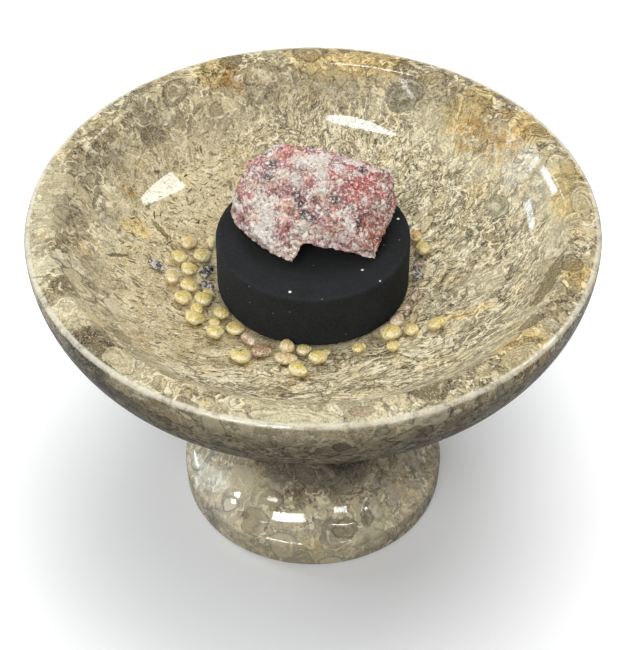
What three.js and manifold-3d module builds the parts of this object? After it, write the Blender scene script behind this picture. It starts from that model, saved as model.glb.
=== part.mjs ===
// Charcoal incense burner: a polished fossil-limestone bowl glued on a turned foot. A charcoal
// tablet lies in the bowl, a rough pink mineral lump lies on the tablet, and resin grains and
// chips lie around it.
// Millimetres, +Z up. The origin is the centre of the foot's base.

import * as THREE from 'three';
import { ConvexGeometry } from 'three/addons/geometries/ConvexGeometry.js';
import { mergeVertices } from 'three/addons/utils/BufferGeometryUtils.js';
import Module from 'manifold-3d';

const wasm = await Module();
wasm.setup();

// Bowl
const RIM_DIAMETER = 117;
const LIP_WIDTH = 5.4;
const LIP_RISE = 0.9;
const LIP_EDGE_RADIUS = 0.9;
const BOWL_HEIGHT = 33.2;
const PAD_DIAMETER = 37.6;
const BELLY_CENTRE_DIAMETER = 11.7;
const FLOOR_DIAMETER = 82;
const FLOOR_DEPTH = 19.7;
const FLOOR_CURVE_RADIUS = 96;
const COVE_RUN = 3.3;

// Foot and the adhesive film under the bowl
const FOOT_HEIGHT = 43.2;
const FOOT_DIAMETER = 58.2;
const FOOT_EDGE_HEIGHT = 5.8;
const FOOT_EDGE_RADIUS = 1.8;
const FLARE_ANGLE = 33; // degrees above level, where the flare leaves the rounded edge
const FOOT_BASE_DIAMETER = 57.8;
const FOOT_BASE_ROUND = 1.2;
const WAIST_DIAMETER = 33.4;
const WAIST_HEIGHT = 32.4;
const FILM_DIAMETER = 33;
const FILM_THICKNESS = 0.4;

// Charcoal tablet
const TABLET_DIAMETER = 40;
const TABLET_HEIGHT = 12.8;
const TABLET_EDGE_RADIUS = 0.8;
const RECESS_DIAMETER = 31;
const RECESS_DEPTH = 2.2;

// Gap between pieces that lie on or beside each other
const CLEARANCE = 0.3;

// Facets around each turned piece
const BOWL_SIDES = 60;
const FOOT_SIDES = 48;
const TABLET_SIDES = 40;

const rimRadius = RIM_DIAMETER / 2;
const padHeight = FOOT_HEIGHT + FILM_THICKNESS;
const rimHeight = padHeight + BOWL_HEIGHT;
const floorHeight = rimHeight - FLOOR_DEPTH;

const stoneFinish = { color: 0xa3957a, roughness: 0.18, metalness: 0 };
const adhesiveFinish = { color: 0xcfc7b2, roughness: 0.5, metalness: 0 };
const charcoalFinish = { color: 0x232425, roughness: 0.92, metalness: 0 };
const mineralFinish = { color: 0xb77f80, roughness: 0.7, metalness: 0 };
const resinFinish = { color: 0xd9bf76, roughness: 0.55, metalness: 0 };
const darkChipFinish = { color: 0x4f4a44, roughness: 0.6, metalness: 0 };
const paleChipFinish = { color: 0xb49a80, roughness: 0.6, metalness: 0 };

// Welds equal corners and drops the empty triangles that a turned shape has on its axis.
function weld(geometry) {
  const bare = geometry.clone();
  bare.deleteAttribute('normal');
  bare.deleteAttribute('uv');
  const merged = mergeVertices(bare, 1e-4);
  const kept = [];
  for (let i = 0; i < merged.index.count; i += 3) {
    const corners = [0, 1, 2].map((step) => merged.index.getX(i + step));
    if (new Set(corners).size === 3) kept.push(...corners);
  }
  merged.setIndex(kept);
  return merged;
}

function toSolid(geometry) {
  const { attributes, index } = weld(geometry);
  return new wasm.Manifold(new wasm.Mesh({
    numProp: 3,
    vertProperties: new Float32Array(attributes.position.array),
    triVerts: new Uint32Array(index.array),
  }));
}

function toGeometry(solid) {
  const { vertProperties, triVerts } = solid.getMesh();
  const geometry = new THREE.BufferGeometry();
  geometry.setAttribute('position', new THREE.BufferAttribute(vertProperties, 3));
  geometry.setIndex(new THREE.BufferAttribute(triVerts, 1));
  geometry.computeVertexNormals();
  return geometry;
}

function named(name, geometry, finish) {
  const mesh = new THREE.Mesh(geometry, new THREE.MeshStandardMaterial(finish));
  mesh.name = name;
  return mesh;
}

const at = (radius, height) => new THREE.Vector2(radius, height);

// Points along a curve, without its first one, so that runs join without a repeated point.
const along = (curve, steps) => curve.getPoints(steps).slice(1);

// Turns an outline of (radius, height) points, listed from the lower axis point round the outside
// to the upper one, about the Z axis.
function turned(outline, sides) {
  const geometry = new THREE.LatheGeometry(outline, sides);
  geometry.rotateX(Math.PI / 2);
  return weld(geometry);
}

// Rounds a corner between two points that lie the same distance from it.
const rounded = (from, corner, to) => along(new THREE.QuadraticBezierCurve(from, corner, to), 4);

// Height of the bowl's floor at a distance from the axis. The floor is a shallow ball dish.
function floorAt(radius) {
  return floorHeight + FLOOR_CURVE_RADIUS - Math.sqrt(FLOOR_CURVE_RADIUS ** 2 - radius ** 2);
}

// Slope angle of the floor at a distance from the axis.
const floorSlope = (radius) => Math.asin(radius / FLOOR_CURVE_RADIUS);

// The belly under the rim: a quarter ellipse that is upright at the rim and ends on the pad.
function bellyPoints() {
  const top = rimHeight - LIP_EDGE_RADIUS;
  const centre = BELLY_CENTRE_DIAMETER / 2;
  const across = rimRadius - centre;
  const end = Math.acos((PAD_DIAMETER / 2 - centre) / across);
  const down = (top - padHeight) / Math.sin(end);
  const steps = 15;
  const points = [];
  for (let i = steps; i >= 0; i -= 1) {
    const angle = (end * i) / steps;
    points.push(at(centre + across * Math.cos(angle), top - down * Math.sin(angle)));
  }
  return points;
}

// The dish inside, from the lip's inner corner down the sloping wall and the cove to the middle.
function dishPoints(wallTop) {
  const edge = FLOOR_DIAMETER / 2;
  const slope = floorSlope(edge);
  const floorEdge = at(edge, floorAt(edge));
  const coveCorner = at(edge + COVE_RUN * Math.cos(slope), floorEdge.y + COVE_RUN * Math.sin(slope));
  const wall = along(new THREE.QuadraticBezierCurve(wallTop, coveCorner, floorEdge), 7);
  const steps = 7;
  const floor = [];
  for (let i = steps - 1; i >= 0; i -= 1) {
    const radius = (edge * i) / steps;
    floor.push(at(radius, floorAt(radius)));
  }
  return [...wall, ...floor];
}

function makeBowl() {
  const round = LIP_EDGE_RADIUS;
  const outerCorner = at(rimRadius, rimHeight);
  const innerCorner = at(rimRadius - LIP_WIDTH, rimHeight + LIP_RISE);
  const across = innerCorner.clone().sub(outerCorner).normalize();
  const lipOuter = outerCorner.clone().addScaledVector(across, round);
  const lipInner = innerCorner.clone().addScaledVector(across, -round);
  const floorEdge = at(FLOOR_DIAMETER / 2, floorAt(FLOOR_DIAMETER / 2));
  const down = floorEdge.clone().sub(innerCorner).normalize();
  const wallTop = innerCorner.clone().addScaledVector(down, round);
  const outline = [
    at(0, padHeight),
    ...bellyPoints(),
    ...rounded(at(rimRadius, rimHeight - round), outerCorner, lipOuter),
    lipInner,
    ...rounded(lipInner, innerCorner, wallTop),
    ...dishPoints(wallTop),
  ];
  return named('bowl', turned(outline, BOWL_SIDES), stoneFinish);
}

function makeFoot() {
  const neck = at(PAD_DIAMETER / 2, FOOT_HEIGHT);
  const waist = at(WAIST_DIAMETER / 2, WAIST_HEIGHT);
  const edge = at(FOOT_DIAMETER / 2, FOOT_EDGE_HEIGHT);
  const base = at(FOOT_BASE_DIAMETER / 2, 0);
  const turn = THREE.MathUtils.degToRad(90 - FLARE_ANGLE);
  const edgeCurve = new THREE.ArcCurve(edge.x - FOOT_EDGE_RADIUS, edge.y, FOOT_EDGE_RADIUS, 0, turn);
  const crest = edgeCurve.getPoint(1);
  const uphill = at(-Math.sin(turn), Math.cos(turn));
  const flare = WAIST_HEIGHT - FOOT_EDGE_HEIGHT;
  const neckCurve = new THREE.CubicBezierCurve(
    waist,
    at(waist.x, THREE.MathUtils.lerp(waist.y, neck.y, 0.4)),
    at(THREE.MathUtils.lerp(neck.x, waist.x, 0.65), THREE.MathUtils.lerp(neck.y, waist.y, 0.26)),
    neck,
  );
  const flareCurve = new THREE.CubicBezierCurve(
    crest,
    crest.clone().addScaledVector(uphill, flare * 0.4),
    at(waist.x, waist.y - flare * 0.4),
    waist,
  );
  const wallDirection = edge.clone().sub(base).normalize();
  const outline = [
    at(0, 0),
    at(base.x - FOOT_BASE_ROUND, 0),
    ...rounded(at(base.x - FOOT_BASE_ROUND, 0), base, base.clone().addScaledVector(wallDirection, FOOT_BASE_ROUND)),
    edge,
    ...along(edgeCurve, 5),
    ...along(flareCurve, 12),
    ...along(neckCurve, 5),
    at(0, FOOT_HEIGHT),
  ];
  return named('pedestal_foot', turned(outline, FOOT_SIDES), stoneFinish);
}

// The film fills the seam between the foot's top and the bowl's pad, face to face with both.
function makeFilm() {
  const radius = FILM_DIAMETER / 2;
  const outline = [
    at(0, FOOT_HEIGHT),
    at(radius, FOOT_HEIGHT),
    at(radius, padHeight),
    at(0, padHeight),
  ];
  return named('adhesive_film', turned(outline, FOOT_SIDES), adhesiveFinish);
}

// The tablet's lower edge lies on the curved floor, so its base is the floor's height there.
const tabletRadius = TABLET_DIAMETER / 2;
const tabletBase = floorAt(tabletRadius) + CLEARANCE;
const tabletTop = tabletBase + TABLET_HEIGHT;

function makeTablet() {
  const round = TABLET_EDGE_RADIUS;
  const recess = RECESS_DIAMETER / 2;
  const recessFloor = tabletTop - RECESS_DEPTH;
  const recessCurve = new THREE.CubicBezierCurve(
    at(recess, tabletTop),
    at(recess * 0.84, tabletTop),
    at(recess * 0.72, recessFloor),
    at(0, recessFloor),
  );
  const outline = [
    at(0, tabletBase),
    at(tabletRadius - round, tabletBase),
    ...rounded(at(tabletRadius - round, tabletBase), at(tabletRadius, tabletBase), at(tabletRadius, tabletBase + round)),
    at(tabletRadius, tabletTop - round),
    ...rounded(at(tabletRadius, tabletTop - round), at(tabletRadius, tabletTop), at(tabletRadius - round, tabletTop)),
    at(recess, tabletTop),
    ...along(recessCurve, 7),
  ];
  return named('charcoal_tablet', turned(outline, TABLET_SIDES), charcoalFinish);
}

// The mineral lump is two rough blocks grown together, with a notch under its front where they
// meet. Corners are x, y and height above the tablet's top, before the seat clearance.
const leftBlockCorners = [
  // front edge, from the left end to the tip
  [-17.5, 3.5, 1.7], [-16, 0, 1.4], [-13.5, -3.5, 1.2], [-10.5, -6.5, 0.9], [-7.5, -9, 0.7], [-4, -10.5, 0.5],
  [-2.5, -9, 2.2],
  // front face
  [-11.5, -5.5, 3.7], [-6, -8.5, 3.2], [-10.5, -4, 6], [-5.5, -5.5, 6.5], [-14, 1.5, 6.2], [-9.5, 1, 9.5],
  [-2.5, -2, 10.5], [1, -4.5, 8.5], [2, 1, 14],
  // top edge
  [-17, 3, 4.7], [-16, 5, 8.7], [-13.5, 8, 12.7], [-10, 9.5, 13.2], [-8.5, 4.5, 13.2], [-7, 10.5, 15.7],
  [-3.5, 10, 15.7], [1, 9, 14.7],
  // back and underside
  [-12.5, 14, 8], [-5, 16, 10], [-13, 13, 1], [-5, 16, 1], [-15.5, 6, 0], [-9, 14, 0], [-12, 0.5, 0], [-2, 6, 0],
];
const rightBlockCorners = [
  // front edge above the notch
  [-1.5, -8, 3.2], [1.5, -8, 3.2], [5, -8.5, 2.7], [9, -9.5, 1.7], [12.5, -10, 1.2],
  // front face
  [12, -9, 3.5], [2.5, -6.5, 7.2], [8.5, -7.5, 6.2], [13, -4, 6], [-2.5, -2, 10.7], [6.5, -3.5, 10.7],
  [12, -1, 11.2], [4.5, 1, 14.2], [-2.5, 3.5, 15.2], [-6.5, -3.5, 8], [-8, 3, 13],
  // right end and top edge
  [14.5, -3, 2.7], [16.5, -1, 4.7], [17.5, 1.5, 6.7], [16.5, 2.5, 9.7], [16.5, 5, 10.7], [15.5, 6, 11.7],
  [12.5, 6.5, 12.7], [8, 7.5, 13.7], [4, 8.5, 14.2], [-1, 10, 15.2], [-3.5, 10, 15.7],
  // back and underside
  [14, 11, 7], [5, 15.5, 9], [-4, 15.5, 9], [13, 12, 1], [3, 16, 1], [15.5, 4, 0], [10, 12.5, 0], [-2, 14, 0],
  [6, 0, 0],
];

function block(corners) {
  const seat = tabletTop + CLEARANCE;
  return toSolid(new ConvexGeometry(corners.map(([x, y, up]) => new THREE.Vector3(x, y, seat + up))));
}

function makeMineralLump() {
  const solid = block(leftBlockCorners).add(block(rightBlockCorners));
  return named('mineral_lump', toGeometry(solid), mineralFinish);
}

// Plan outlines of the resin grains, as a share of the radius in each direction.
const bump = (angle, towards, width) => {
  const apart = Math.atan2(Math.sin(angle - towards), Math.cos(angle - towards));
  return Math.exp(-((apart / width) ** 2));
};
const planForms = {
  round: (angle) => 1 + 0.04 * Math.sin(2 * angle + 0.7) + 0.03 * Math.sin(3 * angle),
  tear: (angle) => 1 + 0.35 * bump(angle, Math.PI / 2, 0.5),
  lobed: (angle) => 1 + 0.1 * Math.sin(3 * angle + 0.6) + 0.05 * Math.sin(2 * angle),
  heart: (angle) => 1 - 0.4 * bump(angle, Math.PI / 2, 0.45) + 0.1 * bump(angle, -Math.PI / 2, 0.5),
  crescent: (angle) => 1 - 0.62 * bump(angle, 0, 0.5),
};

// A resin grain: a ball pressed to its form in plan, and then to its width, depth and height.
function grainGeometry({ width, depth, height, form, index }) {
  const detail = form === 'heart' || form === 'crescent' ? 3 : 1;
  const ball = weld(new THREE.IcosahedronGeometry(1, detail));
  const points = ball.attributes.position;
  for (let i = 0; i < points.count; i += 1) {
    const [x, y, z] = [points.getX(i), points.getY(i), points.getZ(i)];
    const share = planForms[form](Math.atan2(y, x));
    const dent = 1 + 0.05 * Math.sin(3.1 * x + 2.3 * z + index) * Math.cos(2.7 * y + 1.7 * index);
    points.setXYZ(i, x * share * dent, y * share * dent, z * dent);
  }
  return fitted(ball, width, depth, height);
}

// A chip: a flat splinter with sharp corners.
function chipGeometry({ width, depth, height, index }) {
  const corners = [];
  for (let i = 0; i < 7; i += 1) {
    const angle = (i * 2 * Math.PI) / 7 + 0.35 * Math.sin(5 * i + index);
    const reach = 1 - 0.22 * Math.abs(Math.sin(3 * i + 2 * index));
    corners.push(new THREE.Vector3(reach * Math.cos(angle), reach * Math.sin(angle), 0.5 * Math.sin(7 * i + index)));
    corners.push(new THREE.Vector3(0.6 * reach * Math.cos(angle + 0.3), 0.6 * reach * Math.sin(angle + 0.3), 1));
    corners.push(new THREE.Vector3(0.7 * reach * Math.cos(angle), 0.7 * reach * Math.sin(angle), -1));
  }
  return fitted(weld(new ConvexGeometry(corners)), width, depth, height);
}

// Centres a shape and stretches it to a width, depth and height.
function fitted(geometry, width, depth, height) {
  geometry.computeBoundingBox();
  geometry.center();
  const size = geometry.boundingBox.getSize(new THREE.Vector3());
  geometry.scale(width / size.x, depth / size.y, height / size.z);
  return geometry;
}

// Where each grain and chip lies: x, y, width, depth, height, turn in degrees, and its form.
const grainPlaces = [
  [-26.6, 8.2, 3.8, 3.4, 2.3, 10, 'lobed'],
  [-28.5, 3.2, 3.7, 3.2, 2.2, -20, 'round'],
  [-23.6, 5.0, 4.4, 3.5, 2.5, 20, 'round'],
  [-25.7, 0.3, 3.7, 3.3, 2.3, 0, 'lobed'],
  [-29.8, -3.1, 3.3, 4.2, 2.4, 12, 'tear'],
  [-25.9, -4.9, 4.1, 3.2, 2.2, -8, 'round'],
  [-27.0, -9.3, 3.8, 3.6, 2.3, 0, 'round'],
  [-23.8, -12.0, 2.8, 3.0, 2.1, 30, 'lobed'],
  [-22.9, -8.6, 3.9, 3.6, 2.5, 0, 'round'],
  [-21.9, -5.9, 2.8, 1.7, 1.6, -10, 'lobed'],
  [-24.3, -15.4, 4.1, 3.7, 2.4, -10, 'lobed'],
  [-20.2, -15.6, 2.4, 2.4, 1.8, 0, 'round'],
  [-19.0, -12.3, 3.3, 3.3, 2.4, 0, 'round'],
  [-20.0, -19.3, 3.8, 3.8, 2.5, 0, 'round'],
  [-16.0, -17.0, 3.9, 3.7, 2.4, 0, 'round'],
  [-12.9, -20.6, 2.3, 4.3, 2.2, 38, 'lobed'],
  [-10.6, -24.0, 3.8, 4.4, 2.0, -30, 'lobed'],
  [-14.6, -27.3, 4.4, 4.1, 2.5, 8, 'heart'],
  [-21.8, 9.4, 2.5, 3.0, 2.4, 0, 'round'],
  [-5.4, -22.6, 3.2, 3.8, 3.0, 12, 'tear'],
  [-5.5, -26.8, 4.8, 3.5, 2.4, -14, 'lobed'],
  [-1.8, -23.4, 3.2, 3.0, 2.4, 10, 'lobed'],
  [1.0, -26.4, 3.8, 3.7, 2.6, 0, 'round'],
  [2.7, -23.5, 1.7, 1.7, 1.5, 0, 'round'],
  [-2.8, -31.0, 4.3, 4.3, 2.6, -20, 'crescent'],
  [9.3, -22.9, 3.1, 2.6, 2.0, 10, 'lobed'],
  [15.9, -18.9, 4.5, 4.3, 3.0, 0, 'round'],
  [17.6, -14.6, 4.0, 3.0, 2.4, 50, 'lobed'],
  [20.2, -18.2, 3.2, 3.1, 2.4, 0, 'tear'],
  [16.2, -23.4, 2.9, 2.7, 2.1, 0, 'round'],
  [25.4, -17.7, 4.4, 3.2, 2.3, 0, 'lobed'],
  [23.6, 7.2, 2.9, 3.7, 2.4, 15, 'round'],
  [22.2, 11.0, 2.6, 2.8, 2.2, 0, 'round'],
];
const chipPlaces = [
  [-32.7, -0.3, 4.3, 2.3, 1.3, -35, 'dark'],
  [-23.0, 0.9, 2.9, 3.8, 1.9, -25, 'dark'],
  [-22.4, -3.4, 3.6, 2.4, 1.5, -10, 'dark'],
  [22.8, 3.5, 3.4, 1.5, 0.9, 0, 'pale'],
  [22.2, 0.1, 2.7, 2.9, 1.8, 0, 'dark'],
  [21.4, -6.2, 1.5, 4.3, 2.0, -18, 'pale'],
  [19.8, -10.6, 1.7, 3.6, 1.8, -28, 'pale'],
];

function asPiece([x, y, width, depth, height, turn, form], index) {
  return { x, y, width, depth, height, turn: THREE.MathUtils.degToRad(turn), form, index };
}

// How far a piece reaches from its own centre in a direction, as an ellipse does.
function reach({ width, depth, turn }, direction) {
  return Math.hypot((width / 2) * Math.cos(direction - turn), (depth / 2) * Math.sin(direction - turn));
}

function moveAlong(piece, direction, distance) {
  piece.x += distance * Math.cos(direction);
  piece.y += distance * Math.sin(direction);
}

// Nudges the pieces apart until each one lies clear of the tablet and of its neighbours, so that
// every one of them can be picked straight up.
function spread(pieces) {
  const passes = 120;
  for (let pass = 0; pass < passes; pass += 1) {
    pieces.forEach((one, i) => {
      const outward = Math.atan2(one.y, one.x);
      const fromAxis = Math.hypot(one.x, one.y);
      const least = tabletRadius + CLEARANCE + reach(one, outward);
      if (fromAxis < least) moveAlong(one, outward, least - fromAxis);
      for (const other of pieces.slice(i + 1)) {
        const towards = Math.atan2(other.y - one.y, other.x - one.x);
        const apart = Math.hypot(other.x - one.x, other.y - one.y);
        const missing = reach(one, towards) + reach(other, towards) + CLEARANCE - apart;
        if (missing > 0) {
          moveAlong(one, towards, -missing / 2);
          moveAlong(other, towards, missing / 2);
        }
      }
    });
  }
}

// Lays a piece on the floor, tilted with the slope, at its clearance from the stone.
function layOnFloor(mesh, { x, y, height, turn }) {
  const radius = Math.hypot(x, y);
  const slope = floorSlope(radius);
  const inward = Math.atan2(-y, -x);
  const normal = new THREE.Vector3(
    Math.sin(slope) * Math.cos(inward),
    Math.sin(slope) * Math.sin(inward),
    Math.cos(slope),
  );
  mesh.position.set(x, y, floorAt(radius)).addScaledVector(normal, CLEARANCE + height / 2);
  mesh.quaternion.setFromUnitVectors(new THREE.Vector3(0, 0, 1), normal);
  mesh.rotateZ(turn);
  return mesh;
}

const twoDigits = (number) => String(number).padStart(2, '0');

function makeGrainsAndChips() {
  const grains = grainPlaces.map(asPiece);
  const chips = chipPlaces.map(asPiece);
  spread([...grains, ...chips]);
  const chipFinishes = { dark: darkChipFinish, pale: paleChipFinish };
  return [
    ...grains.map((piece, i) => (
      layOnFloor(named(`resin_grain_${twoDigits(i + 1)}`, grainGeometry(piece), resinFinish), piece)
    )),
    ...chips.map((piece, i) => (
      layOnFloor(named(`resin_chip_${twoDigits(i + 1)}`, chipGeometry(piece), chipFinishes[piece.form]), piece)
    )),
  ];
}

const burner = new THREE.Group();
burner.add(makeBowl(), makeFoot(), makeFilm(), makeTablet(), makeMineralLump(), ...makeGrainsAndChips());

export default burner;
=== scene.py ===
import math

import bmesh
import bpy
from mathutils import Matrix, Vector


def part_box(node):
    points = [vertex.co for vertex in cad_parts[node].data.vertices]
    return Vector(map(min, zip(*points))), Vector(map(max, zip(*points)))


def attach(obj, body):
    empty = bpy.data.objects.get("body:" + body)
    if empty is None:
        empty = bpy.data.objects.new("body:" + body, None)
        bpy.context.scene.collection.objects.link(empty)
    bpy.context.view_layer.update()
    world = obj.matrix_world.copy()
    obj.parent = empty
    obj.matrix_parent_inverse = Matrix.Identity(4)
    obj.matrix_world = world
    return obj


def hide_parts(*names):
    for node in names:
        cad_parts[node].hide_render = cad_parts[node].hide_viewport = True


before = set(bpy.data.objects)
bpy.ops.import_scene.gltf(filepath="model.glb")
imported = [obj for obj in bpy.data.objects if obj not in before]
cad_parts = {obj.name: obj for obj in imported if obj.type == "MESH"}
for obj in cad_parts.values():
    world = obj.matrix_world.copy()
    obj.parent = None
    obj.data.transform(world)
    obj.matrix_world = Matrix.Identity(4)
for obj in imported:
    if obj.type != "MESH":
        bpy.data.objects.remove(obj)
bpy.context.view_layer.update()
scene = bpy.context.scene

MM = 0.001

# Sizes of the turned pieces, in millimetres, as in the part's source.
RIM_RADIUS = 58.5
LIP_WIDTH = 5.4
LIP_RISE = 0.9
LIP_ROUND = 0.9
LIP_INNER_ROUND = 1.5
PAD_RADIUS = 18.8
PAD_HEIGHT = 43.6
RIM_HEIGHT = 76.8
BELLY_CENTRE = 5.85
FLOOR_RADIUS = 41
FLOOR_HEIGHT = 57.1
FLOOR_CURVE = 96
COVE_RUN = 3.3
FOOT_HEIGHT = 43.2
FOOT_RADIUS = 29.1
FOOT_EDGE_HEIGHT = 5.8
FOOT_EDGE_ROUND = 1.8
FLARE_ANGLE = 33
FOOT_BASE_RADIUS = 28.9
FOOT_BASE_ROUND = 1.2
WAIST_RADIUS = 16.7
WAIST_HEIGHT = 32.4
TABLET_RADIUS = 20
TABLET_HEIGHT = 12.8
TABLET_ROUND = 0.8
RECESS_RADIUS = 15.5
RECESS_DEPTH = 2.2


def colour(code):
    """A written colour such as "a3957a" as the linear RGBA that a node takes."""
    parts = [int(code[i:i + 2], 16) / 255 for i in (0, 2, 4)]
    return (*[((c + 0.055) / 1.055) ** 2.4 if c > 0.04045 else c / 12.92 for c in parts], 1)


class Wiring:
    """Adds nodes to one tree. A value is a number, a vector, a colour or another node's socket."""

    def __init__(self, tree):
        self.tree = tree

    def feed(self, socket, value):
        if isinstance(value, bpy.types.NodeSocket):
            self.tree.links.new(value, socket)
        elif value is not None:
            socket.default_value = value

    def add(self, kind, values=None, **settings):
        node = self.tree.nodes.new(kind)
        for name, value in settings.items():
            setattr(node, name, value)
        for name, value in (values or {}).items():
            self.feed(node.inputs[name], value)
        return node

    def math(self, operation, *values, clamp=False):
        node = self.add("ShaderNodeMath", operation=operation, use_clamp=clamp)
        for socket, value in zip(node.inputs, values):
            self.feed(socket, value)
        return node.outputs[0]

    def vector(self, operation, *values, scale=None):
        node = self.add("ShaderNodeVectorMath", operation=operation)
        for socket, value in zip(node.inputs, values):
            self.feed(socket, value)
        if scale is not None:
            self.feed(node.inputs["Scale"], scale)
        return node.outputs["Value" if operation in ("LENGTH", "DISTANCE", "DOT_PRODUCT") else 0]

    def ramp(self, value, low, high, bottom=0.0, top=1.0):
        """A smooth step from bottom to top while the value goes from low to high."""
        node = self.add("ShaderNodeMapRange", interpolation_type="SMOOTHSTEP")
        for name, number in zip(("Value", "From Min", "From Max", "To Min", "To Max"),
                                (value, low, high, bottom, top)):
            self.feed(node.inputs[name], number)
        return node.outputs[0]

    def mix(self, share, first, second, blend="MIX"):
        node = self.add("ShaderNodeMix", data_type="RGBA", blend_type=blend, clamp_factor=True)
        for index, value in ((0, share), (6, first), (7, second)):
            self.feed(node.inputs[index], value)
        return node.outputs[2]

    def noise(self, place, size, detail=2.0, roughness=0.5, distortion=0.0):
        """Noise whose features are about one size across, in the units of place."""
        return self.add("ShaderNodeTexNoise", {
            "Vector": place, "Scale": 1 / size, "Detail": detail,
            "Roughness": roughness, "Distortion": distortion,
        })

    def cells(self, place, size, feature="F1", spread=1.0):
        node = self.add("ShaderNodeTexVoronoi", feature=feature)
        for name, value in (("Vector", place), ("Scale", 1 / size), ("Randomness", spread)):
            self.feed(node.inputs[name], value)
        return node

    def warp(self, place, size, amount, detail=1.0):
        """Place pushed about by noise, by up to about the amount."""
        push = self.noise(place, size, detail).outputs["Color"]
        push = self.vector("SUBTRACT", push, (0.5, 0.5, 0.5))
        return self.vector("ADD", place, self.vector("SCALE", push, scale=2 * amount))


# The camera stands where the rim's ellipse, the foot and the tablet place it.

camera = bpy.data.objects.new("camera", bpy.data.cameras.new("camera"))
scene.collection.objects.link(camera)
camera.location = (0, -0.2930, 0.3322)
camera.rotation_euler = (Vector((0, 0, 0.0461)) - camera.location).to_track_quat("-Z", "Y").to_euler()
camera.data.lens = 105.7
camera.data.sensor_width = 36
camera.data.shift_x = -0.0008
camera.data.clip_start = 0.01
scene.camera = camera


def new_material(name):
    material = bpy.data.materials.new(name)
    material.use_nodes = True
    material.node_tree.nodes.clear()
    w = Wiring(material.node_tree)
    coordinates = w.add("ShaderNodeTexCoord").outputs["Object"]
    return material, w, w.vector("SCALE", coordinates, scale=1 / MM)


def finish_surface(w, values, bump=None, bump_distance=0.1, bump_strength=1.0):
    """Ends a material in one principled surface, with an optional bump height in millimetres."""
    shader = w.add("ShaderNodeBsdfPrincipled", values)
    if bump is not None:
        normal = w.add("ShaderNodeBump", {
            "Height": bump, "Distance": bump_distance * MM, "Strength": bump_strength,
        })
        w.feed(shader.inputs["Normal"], normal.outputs["Normal"])
    output = w.add("ShaderNodeOutputMaterial")
    w.feed(output.inputs["Surface"], shader.outputs[0])


def blob(w, place, centre, size, soft=0.35):
    """One inside a ball-shaped patch, nought outside. Size is one radius or three."""
    sizes = size if isinstance(size, tuple) else (size,) * 3
    offset = w.vector("DIVIDE", w.vector("SUBTRACT", place, centre), sizes)
    return w.ramp(w.vector("LENGTH", offset), 1 + soft, 1 - soft)


def largest(w, masks):
    top = masks[0]
    for mask in masks[1:]:
        top = w.math("MAXIMUM", top, mask)
    return top


def shifted(w, place, offset):
    return w.vector("ADD", place, offset)


def lots(w, cell):
    """Three random numbers for each cell."""
    return w.add("ShaderNodeSeparateColor", {"Color": cell.outputs["Color"]}).outputs


def both(w, *masks):
    product = masks[0]
    for mask in masks[1:]:
        product = w.math("MULTIPLY", product, mask)
    return product


def parts_of(w, place):
    """The X, Y and Z of a place."""
    return w.add("ShaderNodeSeparateXYZ", {0: place}).outputs


def from_axis(w, x, y):
    """How far a place is from the Z axis."""
    return w.vector("LENGTH", w.add("ShaderNodeCombineXYZ", {0: x, 1: y}).outputs[0])


def toned(w, share, skin, tone, blend="MULTIPLY"):
    """A share of the skin multiplied by a tone, or with the tone added to it."""
    return w.mix(share, skin, w.mix(1.0, skin, (*tone, 1), blend))


def turned(w, place, degrees):
    return w.add("ShaderNodeVectorRotate", {"Vector": place, "Angle": math.radians(degrees)},
                 rotation_type="Z_AXIS").outputs[0]


STONE = {
    "light": colour("dfcfa4"),
    "base": colour("c6b388"),
    "shade": colour("887856"),
    "umber": colour("685b40"),
    "dark": colour("3f3423"),
    "grey": colour("a39b88"),
    "taupe": colour("9c9078"),
    "cream": colour("fbf1d0"),
    # The next colour is the painted highlight along the lip's outer edge.
    "worn": colour("ece6d2"),
    "vein": colour("d9cdb4"),
    # The two smoke colours are partly the foot's smoky stone and partly painted shade under the bowl.
    "smoke_and_shade": colour("5c574f"),
    "thin smoke": colour("857e72"),
}

# What the stone is multiplied by: over the bowl's outside, a darker stone with painted shade; on its left
# side and low on its belly, painted shade; and in patches.
OUTSIDE_TONE_AND_SHADE = (0.46, 0.44, 0.38)
LEFT_SHADE = (0.42, 0.4, 0.38)
BELLY_SHADE = (0.5, 0.49, 0.47)
PATCH_TONES = {
    "dark": (0.64, 0.61, 0.56),
    # The next tone darkens patches of painted shade on the foot and a painted dark reflection on the bowl's
    # lip.
    "painted_dark": (0.24, 0.215, 0.19),
    "gold": (1.08, 0.95, 0.66),
    "rust": (0.8, 0.62, 0.38),
    "warm": (1.0, 0.88, 0.66),
}

# Painted light added to the stone: on the dish's wall, low on the foot, and on the foot's left as a painted
# bluish window reflection.
WALL_PAINTED_LIGHT = (0.15, 0.14, 0.11)
FOOT_PAINTED_LIGHT = (0.16, 0.155, 0.135)
FOOT_LEFT_PAINTED_REFLECTION = (0.12, 0.13, 0.13)


def fragments(w, skin, place, size, share, body, outline, strength=0.8):
    """Broken shells cut across: lens shapes with a darker outline. Size is three lengths."""
    cell = w.cells(w.vector("DIVIDE", place, size), 1.0)
    red, green, blue = lots(w, cell)
    kept = both(w, w.ramp(red, share + 0.01, share - 0.01), strength, w.ramp(blue, 0.0, 1.0, 0.45, 1.0))
    distance = w.math("ADD", cell.outputs["Distance"], w.math("MULTIPLY", green, 0.14))
    skin = w.mix(both(w, kept, w.ramp(distance, 0.56, 0.48), 0.75), skin, outline)
    return w.mix(both(w, kept, w.ramp(distance, 0.44, 0.36)), skin, body)


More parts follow.
